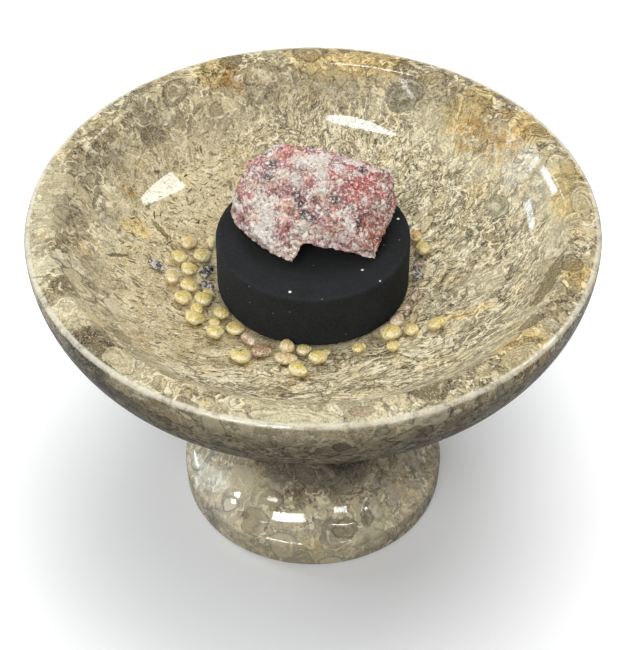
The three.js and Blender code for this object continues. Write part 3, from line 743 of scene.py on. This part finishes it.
def line(w, start, end):
    return w.add("GeometryNodeCurvePrimitiveLine", {"Start": start, "End": end}).outputs[0]


def corner(w, start, middle, end, steps=6):
    return w.add("GeometryNodeCurveQuadraticBezier", {
        "Resolution": steps, "Start": start, "Middle": middle, "End": end}).outputs[0]


def bend(w, start, first, second, end, steps):
    return w.add("GeometryNodeCurvePrimitiveBezierSegment", {
        "Resolution": steps, "Start": start, "Start Handle": first,
        "End Handle": second, "End": end}).outputs[0]


def toward(w, start, end, distance):
    """The point a distance from start on the line to end."""
    way = w.vector("NORMALIZE", w.vector("SUBTRACT", end, start))
    return w.vector("ADD", start, w.vector("SCALE", way, scale=distance))


def make_bowl(material):
    sizes = {
        "Rim Radius": RIM_RADIUS, "Rim Height": RIM_HEIGHT, "Lip Width": LIP_WIDTH, "Lip Rise": LIP_RISE,
        "Lip Round": LIP_ROUND, "Inner Round": LIP_INNER_ROUND,
        "Pad Radius": PAD_RADIUS, "Pad Height": PAD_HEIGHT,
        "Belly Centre": BELLY_CENTRE, "Floor Radius": FLOOR_RADIUS, "Floor Height": FLOOR_HEIGHT,
        "Floor Curve": FLOOR_CURVE, "Cove Run": COVE_RUN, "Sides": 288,
    }
    w, size = geometry_tree("turned bowl", sizes)
    round_ = size["Lip Round"]
    outer = spot(w, size["Rim Radius"], size["Rim Height"])
    inner = spot(w, w.math("SUBTRACT", size["Rim Radius"], size["Lip Width"]),
                 w.math("ADD", size["Rim Height"], size["Lip Rise"]))
    lip_outer = toward(w, outer, inner, round_)
    lip_inner = toward(w, inner, outer, size["Inner Round"])
    belly_top = w.math("SUBTRACT", size["Rim Height"], round_)
    rim_side = spot(w, size["Rim Radius"], belly_top)
    # belly: part of an ellipse, upright at the rim and ending on the pad
    across = w.math("SUBTRACT", size["Rim Radius"], size["Belly Centre"])
    pad_share = w.math("DIVIDE", w.math("SUBTRACT", size["Pad Radius"], size["Belly Centre"]), across)
    sweep = w.math("ARCCOSINE", pad_share)
    down = w.math("DIVIDE", w.math("SUBTRACT", belly_top, size["Pad Height"]), w.math("SINE", sweep))
    arc = w.add("GeometryNodeCurveArc", {
        "Resolution": 48, "Radius": 1.0,
        "Start Angle": w.math("MULTIPLY", sweep, -1.0), "Sweep Angle": sweep})
    belly = w.add("GeometryNodeTransform", {
        "Geometry": arc.outputs[0],
        "Translation": spot(w, size["Belly Centre"], belly_top),
        "Scale": w.add("ShaderNodeCombineXYZ", {0: across, 1: down, 2: 1.0}).outputs[0]}).outputs[0]
    # floor: a shallow ball dish
    dish_sweep = w.math("ARCSINE", w.math("DIVIDE", size["Floor Radius"], size["Floor Curve"]))
    floor_arc = w.add("GeometryNodeCurveArc", {
        "Resolution": 34, "Radius": size["Floor Curve"],
        "Start Angle": -math.pi / 2, "Sweep Angle": dish_sweep})
    from_edge = w.add("GeometryNodeReverseCurve", {"Curve": floor_arc.outputs[0]})
    floor = w.add("GeometryNodeTransform", {
        "Geometry": from_edge.outputs[0],
        "Translation": spot(w, 0.0, w.math("ADD", size["Floor Height"], size["Floor Curve"]))}).outputs[0]
    rise = w.math("SUBTRACT", 1.0, w.math("COSINE", dish_sweep))
    edge_height = w.math("ADD", size["Floor Height"], w.math("MULTIPLY", size["Floor Curve"], rise))
    floor_edge = spot(w, size["Floor Radius"], edge_height)
    slope = spot(w, w.math("COSINE", dish_sweep), w.math("SINE", dish_sweep))
    cove = w.vector("ADD", floor_edge, w.vector("SCALE", slope, scale=size["Cove Run"]))
    wall_top = toward(w, inner, floor_edge, size["Inner Round"])
    runs = [
        line(w, spot(w, 0.0, size["Pad Height"]), spot(w, size["Pad Radius"], size["Pad Height"])),
        belly,
        corner(w, rim_side, outer, lip_outer),
        line(w, lip_outer, lip_inner),
        corner(w, lip_inner, inner, wall_top, 10),
        corner(w, wall_top, cove, floor_edge, 26),
        floor,
    ]
    close_tree(w, turn(w, runs, size["Sides"]), size["Material"])
    return run_tree(w, "bowl_turned", {**sizes, "Material": material})


def make_foot(material):
    sizes = {
        "Foot Radius": FOOT_RADIUS, "Foot Height": FOOT_HEIGHT, "Edge Height": FOOT_EDGE_HEIGHT,
        "Edge Round": FOOT_EDGE_ROUND, "Flare Angle": math.radians(FLARE_ANGLE),
        "Base Radius": FOOT_BASE_RADIUS, "Base Round": FOOT_BASE_ROUND,
        "Waist Radius": WAIST_RADIUS, "Waist Height": WAIST_HEIGHT,
        "Pad Radius": PAD_RADIUS, "Sides": 224,
    }
    w, size = geometry_tree("turned foot", sizes)
    base = spot(w, size["Base Radius"], 0.0)
    edge = spot(w, size["Foot Radius"], size["Edge Height"])
    waist = spot(w, size["Waist Radius"], size["Waist Height"])
    neck = spot(w, size["Pad Radius"], size["Foot Height"])
    base_flat = spot(w, w.math("SUBTRACT", size["Base Radius"], size["Base Round"]), 0.0)
    base_side = toward(w, base, edge, size["Base Round"])
    # the rounded edge ends where the flare leaves it
    sweep = w.math("SUBTRACT", math.pi / 2, size["Flare Angle"])
    edge_centre = spot(w, w.math("SUBTRACT", size["Foot Radius"], size["Edge Round"]), size["Edge Height"])
    edge_arc = w.add("GeometryNodeCurveArc", {
        "Resolution": 9, "Radius": size["Edge Round"], "Start Angle": 0.0, "Sweep Angle": sweep})
    rounded = w.add("GeometryNodeTransform", {"Geometry": edge_arc.outputs[0], "Translation": edge_centre})
    outward = spot(w, w.math("COSINE", sweep), w.math("SINE", sweep))
    crest = w.vector("ADD", edge_centre, w.vector("SCALE", outward, scale=size["Edge Round"]))
    uphill = spot(w, w.math("MULTIPLY", w.math("SINE", sweep), -1.0), w.math("COSINE", sweep))
    flare = w.math("SUBTRACT", size["Waist Height"], size["Edge Height"])
    flare_low = w.vector("ADD", crest, w.vector("SCALE", uphill, scale=w.math("MULTIPLY", flare, 0.4)))
    flare_high = w.vector("ADD", waist, spot(w, 0.0, w.math("MULTIPLY", flare, -0.4)))
    climb = w.math("SUBTRACT", size["Foot Height"], size["Waist Height"])
    swell = w.math("SUBTRACT", size["Waist Radius"], size["Pad Radius"])
    neck_low = w.vector("ADD", waist, spot(w, 0.0, w.math("MULTIPLY", climb, 0.4)))
    neck_lean = spot(w, w.math("MULTIPLY", swell, 0.65), w.math("MULTIPLY", climb, -0.26))
    neck_high = w.vector("ADD", neck, neck_lean)
    runs = [
        line(w, spot(w, 0.0, 0.0), base_flat),
        corner(w, base_flat, base, base_side),
        line(w, base_side, edge),
        rounded.outputs[0],
        bend(w, crest, flare_low, flare_high, waist, 40),
        bend(w, waist, neck_low, neck_high, neck, 16),
        line(w, neck, spot(w, 0.0, size["Foot Height"])),
    ]
    close_tree(w, turn(w, runs, size["Sides"]), size["Material"])
    return run_tree(w, "foot_turned", {**sizes, "Material": material})


def make_tablet(material):
    tablet_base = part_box("charcoal_tablet")[0].z / MM
    sizes = {
        "Tablet Radius": TABLET_RADIUS, "Tablet Base": tablet_base, "Tablet Height": TABLET_HEIGHT,
        "Edge Round": TABLET_ROUND, "Recess Radius": RECESS_RADIUS, "Recess Depth": RECESS_DEPTH,
        "Grain": 0.06, "Sides": 260,
    }
    w, size = geometry_tree("pressed tablet", sizes)
    round_, base, rim = size["Edge Round"], size["Tablet Base"], size["Tablet Radius"]
    top = w.math("ADD", base, size["Tablet Height"])
    inset = w.math("SUBTRACT", rim, round_)
    recess_floor = w.math("SUBTRACT", top, size["Recess Depth"])
    recess = size["Recess Radius"]
    side_low = spot(w, rim, w.math("ADD", base, round_))
    side_high = spot(w, rim, w.math("SUBTRACT", top, round_))
    side = w.add("GeometryNodeResampleCurve", {"Curve": line(w, side_low, side_high), "Count": 28})
    runs = [
        line(w, spot(w, 0.0, base), spot(w, inset, base)),
        corner(w, spot(w, inset, base), spot(w, rim, base), side_low),
        side.outputs[0],
        corner(w, side_high, spot(w, rim, top), spot(w, inset, top)),
        w.add("GeometryNodeResampleCurve", {
            "Curve": line(w, spot(w, inset, top), spot(w, recess, top)), "Count": 9}).outputs[0],
        bend(w, spot(w, recess, top), spot(w, w.math("MULTIPLY", recess, 0.84), top),
             spot(w, w.math("MULTIPLY", recess, 0.72), recess_floor), spot(w, 0.0, recess_floor), 34),
    ]
    skin = turn(w, runs, size["Sides"])
    # the press grain only ever sinks below the pressed surface
    place = w.vector("SCALE", w.add("GeometryNodeInputPosition").outputs[0], scale=1 / MM)
    pits = w.ramp(w.noise(place, 0.9, 3.0, 0.7).outputs[0], 0.62, 0.35)
    offset = inward(w, w.math("MULTIPLY", pits, size["Grain"]))
    grained = w.add("GeometryNodeSetPosition", {"Geometry": skin, "Offset": offset})
    close_tree(w, grained.outputs[0], size["Material"])
    return run_tree(w, "charcoal_pressed", {**sizes, "Material": material})


def merged_copy(node):
    """A CAD node's mesh as a new welded mesh."""
    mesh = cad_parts[node].data.copy()
    work = bmesh.new()
    work.from_mesh(mesh)
    bmesh.ops.remove_doubles(work, verts=work.verts, dist=0.001 * MM)
    work.to_mesh(mesh)
    work.free()
    mesh.materials.clear()
    spare = [a.name for a in mesh.attributes if not (a.name == "position" or a.is_internal or a.is_required)]
    for name in spare:
        mesh.attributes.remove(mesh.attributes[name])
    return mesh


def remeshed(mesh, voxel):
    obj = bpy.data.objects.new("block", mesh)
    scene.collection.objects.link(obj)
    modifier = obj.modifiers.new("voxels", "REMESH")
    modifier.mode = "VOXEL"
    modifier.voxel_size = voxel * MM
    graph = bpy.context.evaluated_depsgraph_get()
    graph.update()
    result = bpy.data.meshes.new_from_object(obj.evaluated_get(graph), depsgraph=graph)
    bpy.data.objects.remove(obj)
    return result


# The rusty hollow in the lump's right side: its middle and its three radii.
MINERAL_HOLLOW = ((11.8, -6.2, 78.9), (2.7, 3.6, 2.8))


def inward(w, depth):
    """A move into the surface, by a depth in millimetres."""
    normal = w.add("GeometryNodeInputNormal").outputs[0]
    return w.vector("SCALE", normal, scale=w.math("MULTIPLY", depth, -MM))


def make_mineral(material):
    """The lump, broken into facets and granular all over. All of it sinks below the CAD faces."""
    sizes = {
        "Facet Size": 3.6, "Facet Depth": 0.5, "Grain Size": 1.1, "Grain Depth": 0.32,
        "Grit Depth": 0.14, "Hollow Depth": 0.7,
    }
    w, size = geometry_tree("broken mineral", sizes)
    place = w.vector("SCALE", w.add("GeometryNodeInputPosition").outputs[0], scale=1 / MM)
    bent = w.warp(place, 3.0, 1.1, 2.0)
    facet_scale = w.math("DIVIDE", 1.0, size["Facet Size"])
    facet = w.add("ShaderNodeTexVoronoi", {"Vector": bent, "Scale": facet_scale})
    step = parts_of(w, facet.outputs["Color"])[0]
    away = w.vector("SUBTRACT", bent, facet.outputs["Position"])
    lean = w.vector("DOT_PRODUCT", away, w.vector("SUBTRACT", facet.outputs["Color"], (0.5, 0.5, 0.5)))
    slabs = w.math("ADD", step, w.math("MULTIPLY", lean, 0.35), clamp=True)
    lumps = w.ramp(w.noise(place, 1.5, 3.0, 0.7).outputs[0], 0.32, 0.68)
    grain_scale = w.math("DIVIDE", 1.0, size["Grain Size"])
    grains = w.add("ShaderNodeTexVoronoi", {"Vector": w.warp(place, 1.0, 0.3), "Scale": grain_scale})
    grit = w.ramp(w.noise(place, 0.45, 2.0, 0.7).outputs[0], 0.3, 0.7)
    depth = w.math("MULTIPLY", slabs, size["Facet Depth"])
    hollow = blob(w, w.warp(place, 1.5, 0.5, 2.0), *MINERAL_HOLLOW, 0.12)
    for share, reach in ((grains.outputs["Distance"], "Grain Depth"), (lumps, "Grain Depth"),
                         (grit, "Grit Depth"), (hollow, "Hollow Depth")):
        depth = w.math("ADD", depth, w.math("MULTIPLY", share, size[reach]))
    broken = w.add("GeometryNodeSetPosition", {"Geometry": size["Geometry"], "Offset": inward(w, depth)})
    close_tree(w, broken.outputs[0], size["Material"])
    start = remeshed(merged_copy("mineral_lump"), 0.3)
    return run_tree(w, "mineral_broken", {**sizes, "Material": material}, start)


def middle_and_half(w, geometry):
    """The middle of a geometry's box and half its size."""
    box = w.add("GeometryNodeBoundBox", {"Geometry": geometry}).outputs
    middle = w.vector("SCALE", w.vector("ADD", box["Min"], box["Max"]), scale=0.5)
    return middle, w.vector("SCALE", w.vector("SUBTRACT", box["Max"], box["Min"]), scale=0.5)


def grain_tree():
    """Rounds a resin grain off, dents and notches it, and fills its CAD box again. It also stores how near
    the rim is."""
    sizes = ["Dent Size", "Dent Depth", "Notch Turn", "Notch Width", "Notch Depth"]
    w, size = geometry_tree("worn grain", sizes)
    soft = w.add("GeometryNodeSubdivisionSurface", {"Mesh": size["Geometry"], "Level": 2})
    position = w.add("GeometryNodeInputPosition").outputs[0]
    place = w.vector("SCALE", position, scale=1 / MM)
    dents = w.add("ShaderNodeTexNoise", {
        "Vector": place, "Scale": w.math("DIVIDE", 1.0, size["Dent Size"]), "Detail": 2.0}).outputs[0]
    offset = inward(w, w.math("MULTIPLY", dents, size["Dent Depth"]))
    dented = w.add("GeometryNodeSetPosition", {"Geometry": soft.outputs[0], "Offset": offset}).outputs[0]
    middle, half = middle_and_half(w, dented)
    cad_middle, cad_half = middle_and_half(w, size["Geometry"])
    share = w.vector("DIVIDE", w.vector("SUBTRACT", position, middle), half)
    plan = w.vector("MULTIPLY", share, (1.0, 1.0, 0.0))
    marked = w.add("GeometryNodeStoreNamedAttribute", {
        "Geometry": dented, "Name": "rim", "Value": w.vector("LENGTH", plan)},
        data_type="FLOAT", domain="POINT")
    # a notch pulls the skin towards the middle on one side
    side = spot(w, w.math("COSINE", size["Notch Turn"]), w.math("SINE", size["Notch Turn"]))
    facing = w.vector("DOT_PRODUCT", w.vector("NORMALIZE", plan), side)
    pull = both(w, w.ramp(facing, w.math("SUBTRACT", 1.0, size["Notch Width"]), 1.0), size["Notch Depth"])
    kept = w.math("SUBTRACT", 1.0, pull)
    shrink = w.add("ShaderNodeCombineXYZ", {0: kept, 1: kept, 2: 1.0}).outputs[0]
    notched = w.vector("MULTIPLY", share, shrink)
    filled = w.vector("ADD", cad_middle, w.vector("MULTIPLY", notched, cad_half))
    fitted = w.add("GeometryNodeSetPosition", {"Geometry": marked.outputs[0], "Position": filled})
    close_tree(w, fitted.outputs[0], size["Material"])
    return w


def chip_tree():
    """Breaks small hollows into a splinter's facets and leaves its edges sharp."""
    w, size = geometry_tree("broken chip", ["Dent Size", "Dent Depth"])
    fine = w.add("GeometryNodeSubdivideMesh", {"Mesh": size["Geometry"], "Level": 2})
    place = w.vector("SCALE", w.add("GeometryNodeInputPosition").outputs[0], scale=1 / MM)
    dents = w.add("ShaderNodeTexNoise", {
        "Vector": place, "Scale": w.math("DIVIDE", 1.0, size["Dent Size"]), "Detail": 1.0}).outputs[0]
    offset = inward(w, w.math("MULTIPLY", w.ramp(dents, 0.35, 0.65), size["Dent Depth"]))
    broken = w.add("GeometryNodeSetPosition", {"Geometry": fine.outputs[0], "Offset": offset})
    close_tree(w, broken.outputs[0], size["Material"], smooth=False)
    return w


def dress(piece, node, body):
    """Tells the frame which body a piece rides on and which node it replaces."""
    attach(piece, body)
    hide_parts(node)


# Where the stone's patches and larger shells lie. A patch has its middle and its radius or three radii. A
# shell has its middle, its half sizes, its turn in degrees, its colour and how many growth lines it has.
BOWL_MARKS = {
    "dark": (
        ((26.0, 42.4, 74.1), 6.0), ((-8.0, 48.0, 72.5), (24.0, 4.5, 4.5)), ((-37.2, 32.8, 74.0), 4.5),
        ((-43.5, 24.6, 74.4), 5.5), ((-50.3, 7.1, 75.4), (5.0, 15.0, 5.0)),
        ((45.4, -15.3, 72.2), (4.5, 9.0, 4.5)),
    ),
    # a painted dark reflection on the lip's left front
    "painted_dark": (((-43.0, -36.4, 77.4), (5.4, 4.0, 5.0)), ((-39.8, -39.9, 77.4), (4.0, 4.2, 5.0))),
    "pale": (
        ((24.7, 38.6, 70.2), 4.0), ((31.1, 32.5, 69.4), 4.5), ((37.2, 24.5, 69.0), 4.5),
        ((-44.2, -26.8, 76.4), 5.0), ((51.0, 8.0, 75.5), (4.0, 13.0, 4.0)),
        ((-2.0, -56.5, 78.4), (26.0, 5.0, 5.0)), ((-34.0, -44.0, 77.4), (6.0, 6.0, 3.0)),
        ((-55.0, 2.0, 77.4), (4.0, 20.0, 4.0)), ((35.5, -5.8, 64.1), 4.0),
    ),
    "gold": (
        ((31.2, 37.7, 73.4), 4.0), ((-21.8, 49.6, 77.5), 5.0), ((36.4, 38.2, 76.5), 3.5),
        ((47.0, 28.8, 77.4), 5.5), ((52.2, -17.9, 77.3), 4.0), ((30.0, -14.0, 63.5), (10.0, 1.6, 3.0)),
        ((-37.5, 10.0, 65.4), 3.2), ((53.0, 8.0, 77.4), (5.0, 9.0, 4.0)), ((40.0, -38.0, 77.4), 6.0),
        ((8.0, 53.0, 77.4), (14.0, 5.0, 4.0)),
    ),
    "rust": (
        ((35.3, 32.4, 72.3), 4.5), ((41.3, 27.0, 73.8), 4.5), ((-17.4, 47.9, 75.5), 3.0),
        ((-39.2, 18.9, 68.1), 2.2), ((-2.6, -31.7, 62.3), 2.2), ((-8.7, -19.6, 59.6), 1.4),
        ((42.0, 33.5, 77.4), (5.0, 1.6, 2.0)),
    ),
    "shells": (
        ((-2.9, -55.9, 77.2), (9.4, 1.9, 4.0), -3.7, "e4d8b0", 13.0),
        ((8.8, -54.5, 77.3), (2.3, 1.0, 3.0), 5.0, "b9a184", 0.0),
        ((39.0, -40.5, 77.2), (5.0, 2.2, 4.0), 44.0, "c4b286", 22.0),
        ((-36.3, -41.4, 77.4), (4.2, 2.3, 4.0), -48.0, "d3c49a", 10.0),
        ((46.7, -16.3, 73.9), (7.0, 1.7, 5.0), 64.0, "8d7f5c", 0.0),
        ((39.2, 14.7, 66.9), (3.4, 2.0, 4.0), -60.0, "a49c7e", 7.0),
        ((-32.6, 11.4, 63.6), (2.7, 0.7, 3.0), -50.0, "8b7a52", 0.0),
        ((20.4, 44.8, 73.7), (4.4, 3.0, 4.0), 20.0, "8f866e", 12.0),
        ((-40.6, 0.3, 66.1), (2.6, 0.45, 3.0), 30.0, "6f5f3c", 0.0),
        ((55.0, 5.0, 77.4), (4.6, 2.2, 3.0), 85.0, "d0bf92", 16.0),
    ),
}
FOOT_MARKS = {
    # The dark patches on the next line and the darker one after it are painted shade on the foot's top, under
    # the bowl.
    "dark": (((2.0, -17.0, 22.0), (16.0, 9.0, 9.0)), ((11.0, -17.0, 19.0), (7.0, 7.0, 6.0))),
    "painted_dark": (((8.0, -16.0, 22.0), (7.0, 5.0, 4.0)),),
    # The first two pale patches, on the left flank and low at the front, are painted light.
    "pale": (((-15.0, -20.0, 13.0), (6.0, 8.0, 5.0)), ((0.0, -28.0, 3.0), (22.0, 8.0, 6.0)),
             ((14.0, -24.0, 8.0), (5.0, 4.0, 4.0))),
    "shells": (
        ((-13.4, -24.2, 9.9), (3.6, 3.2, 3.4), -30.0, "cdbf9c", 6.0),
        ((12.1, -24.1, 10.9), (2.5, 2.5, 2.5), 0.0, "a59a80", 12.0),
        ((7.6, -26.8, 9.6), (3.4, 3.0, 2.0), 20.0, "b5a684", 14.0),
        ((-18.5, -18.0, 15.9), (1.6, 1.6, 2.2), 0.0, "e6ddbf", 0.0),
    ),
}

bowl = make_bowl(fossil_stone("fossil limestone bowl", BOWL_MARKS, has_dish=True))
dress(bowl, "bowl", "burner")
foot = make_foot(fossil_stone("fossil limestone foot", FOOT_MARKS))
dress(foot, "pedestal_foot", "burner")

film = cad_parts["adhesive_film"]
film.data.materials.clear()
film.data.materials.append(adhesive_material())

tablet = make_tablet(charcoal_material())
dress(tablet, "charcoal_tablet", "charcoal")
mineral = make_mineral(mineral_material())
dress(mineral, "mineral_lump", "mineral")

RESINS = {
    "yellow": ("d9c062", "ecdc96"), "pale": ("dbc98a", "efe4b4"), "peach": ("d9bd80", "ebd6a2"),
    "pink": ("c8a68c", "e2ccb0"), "olive": ("c6b25e", "e2d494"), "tan": ("ccab72", "e6d0a0"),
    "brown": ("96704c", "bb9a76"), "orange": ("d09a46", "e4c47c"),
}
GRAIN_TINTS = {
    1: "peach", 3: "olive", 5: "peach", 16: "pink", 17: "brown", 19: "pale", 20: "peach", 21: "tan",
    22: "olive", 28: "pink", 33: "orange",
}
resins = {name: resin_material(f"resin {name}", *tones) for name, tones in RESINS.items()}
chips = {
    "dark": chip_material("dark chip", "2f2c2a", "c9c4bd"),
    "pale": chip_material("pale chip", "8a6c54", "dccbb4"),
}
PALE_CHIPS = (4, 6, 7)

# The side that the notch of the heart and of the C-shaped grain faces, in degrees from +X, then the
# notch's width and depth as shares of the grain.
NOTCHES = {18: (92.0, 0.26, 0.7), 25: (36.0, 0.3, 0.85)}
NO_NOTCH = (0.0, 0.1, 0.0)


def make_grain(tree, node, number):
    notch_side, notch_width, notch_depth = NOTCHES.get(number, NO_NOTCH)
    values = {
        "Dent Size": 0.8, "Dent Depth": 0.3, "Notch Turn": math.radians(notch_side),
        "Notch Width": notch_width, "Notch Depth": notch_depth,
        "Material": resins[GRAIN_TINTS.get(number, "yellow")],
    }
    grain = run_tree(tree, node.replace("resin_", "worn_"), values, merged_copy(node))
    dress(grain, node, f"{node}_body")


def make_chip(tree, node, number):
    tone = "pale" if number in PALE_CHIPS else "dark"
    values = {"Dent Size": 0.7, "Dent Depth": 0.35, "Material": chips[tone]}
    chip = run_tree(tree, node.replace("resin_", "broken_"), values, merged_copy(node))
    dress(chip, node, f"{node}_body")


worn = grain_tree()
broken = chip_tree()
for node in sorted(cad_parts):
    if node.startswith("resin_grain"):
        make_grain(worn, node, int(node[-2:]))
    elif node.startswith("resin_chip"):
        make_chip(broken, node, int(node[-2:]))


def is_seen(w):
    """One where the camera sees the place, straight or in a reflection, nought for bounced light."""
    path = w.add("ShaderNodeLightPath").outputs
    mirrored = w.math("MAXIMUM", path["Is Glossy Ray"], path["Is Transmission Ray"])
    return w.math("MAXIMUM", path["Is Camera Ray"], mirrored)


# How brightly the seen floor glows: under the foot, round it, and far away where the lamps don't reach.
FLOOR_GLOW_UNDER = 0.08
FLOOR_GLOW_ROUND = 0.45
FLOOR_GLOW_FAR = 0.55
FLOOR_REACH = 3.0


def make_floor():
    mesh = bpy.data.meshes.new("floor")
    corners = [(x * FLOOR_REACH, y * FLOOR_REACH, 0) for x, y in ((-1, -1), (1, -1), (1, 1), (-1, 1))]
    mesh.from_pydata(corners, [], [(0, 1, 2, 3)])
    floor = bpy.data.objects.new("floor", mesh)
    scene.collection.objects.link(floor)
    material, w, place = new_material("pale floor")
    seen = is_seen(w)
    distance = w.vector("LENGTH", place)
    near_glow = w.ramp(distance, 28.0, 95.0, FLOOR_GLOW_UNDER, FLOOR_GLOW_ROUND)
    glow = w.math("ADD", near_glow, w.ramp(distance, 300.0, 1200.0, 0.0, FLOOR_GLOW_FAR))
    tone = w.mix(seen, (0.17, 0.165, 0.155, 1), (0.86, 0.86, 0.86, 1))
    pale = w.add("ShaderNodeBsdfDiffuse", {"Color": tone})
    lit = w.add("ShaderNodeEmission", {"Color": (1, 1, 1, 1), "Strength": both(w, seen, glow)})
    surface = w.add("ShaderNodeAddShader", {0: pale.outputs[0], 1: lit.outputs[0]})
    w.add("ShaderNodeOutputMaterial", {"Surface": surface.outputs[0]})
    mesh.materials.append(material)


def make_surroundings():
    world = bpy.data.worlds.new("studio")
    world.use_nodes = True
    world.node_tree.nodes.clear()
    w = Wiring(world.node_tree)
    tone = w.mix(is_seen(w), (0.22, 0.225, 0.23, 1), (1, 1, 1, 1))
    background = w.add("ShaderNodeBackground", {"Color": tone, "Strength": 1.0})
    w.add("ShaderNodeOutputWorld", {"Surface": background.outputs[0]})
    scene.world = world


LAMP_TARGET = Vector((0, 0, 0.06))
LAMP_DISTANCE = 1.2
MIRRORED_DISTANCE = 2.0


def lamp(name, azimuth, elevation, size, glow, tint=(1, 1, 1), roll=0.0, mirrored=False):
    """A soft lamp aimed at the bowl. Azimuth is from +Y towards +X, and glow is how bright it looks. A
    mirrored lamp only shows in the polish, and the others only light. A name that ends in round makes
    the lamp an ellipse."""
    a, e = math.radians(azimuth), math.radians(elevation)
    light = bpy.data.lights.new(name, "AREA")
    light.shape = "ELLIPSE" if name.endswith("round") else "RECTANGLE"
    light.size, light.size_y = size
    light.energy = glow * math.pi * light.size * light.size_y
    light.color = tint
    obj = bpy.data.objects.new(name, light)
    scene.collection.objects.link(obj)
    obj.visible_diffuse = not mirrored
    obj.visible_glossy = mirrored
    way = Vector((math.sin(a) * math.cos(e), math.cos(a) * math.cos(e), math.sin(e)))
    obj.location = LAMP_TARGET + way * (MIRRORED_DISTANCE if mirrored else LAMP_DISTANCE)
    obj.rotation_euler = way.to_track_quat("Z", "Y").to_euler()
    obj.rotation_euler.rotate_axis("Z", math.radians(roll))


DAYLIGHT = (0.9, 0.96, 1.0)
BLUISH = (0.78, 0.9, 1.0)
WARM = (1, 0.98, 0.93)
make_floor()
make_surroundings()
lamp("sky", 30, 72, (0.9, 0.9), 3.1)
lamp("front", -168, 48, (0.5, 0.3), 12.0)
lamp("left", -60, 38, (0.4, 0.4), 6.4, DAYLIGHT)
for mirrored_lamp in (
        ("window back right", 48.7, 52, (0.2, 0.4), 50.0, WARM, 14.0),
        ("ceiling front left round", -143, 64, (0.9, 0.36), 52.0, WARM),
        ("ceiling strip", -132.5, 45, (0.27, 0.02), 40.0),
        ("window left upper", -57.5, 14.8, (0.44, 0.05), 55.0, BLUISH, 32.0),
        ("window left end", -66.5, 20.8, (0.08, 0.05), 25.0, BLUISH, 32.0),
        ("window left lower", -51, 15.6, (0.42, 0.055), 32.0, BLUISH, 31.0),
        ("window left haze", -61, 15, (0.6, 0.3), 5.0, BLUISH),
        ("window side haze", -78, 20, (0.9, 0.6), 13.0, BLUISH),
        ("lamp front", -156, 39, (0.87, 0.31), 90.0),
        ("lamp front right", 153, 31, (0.4, 0.22), 60.0, DAYLIGHT),
        ("ceiling front strip", 151, 46, (0.5, 0.035), 70.0),
        ("lamp right round", 128, 33, (0.1, 0.1), 60.0),
        ("lamp low", -139, 22, (0.34, 0.14), 55.0),
        ("window side upper round", -104, 25, (0.2, 0.2), 75.0),
        ("window side lower round", -102, 32, (0.14, 0.16), 60.0)):
    lamp(*mirrored_lamp, mirrored=True)

scene.view_settings.view_transform = "Standard"
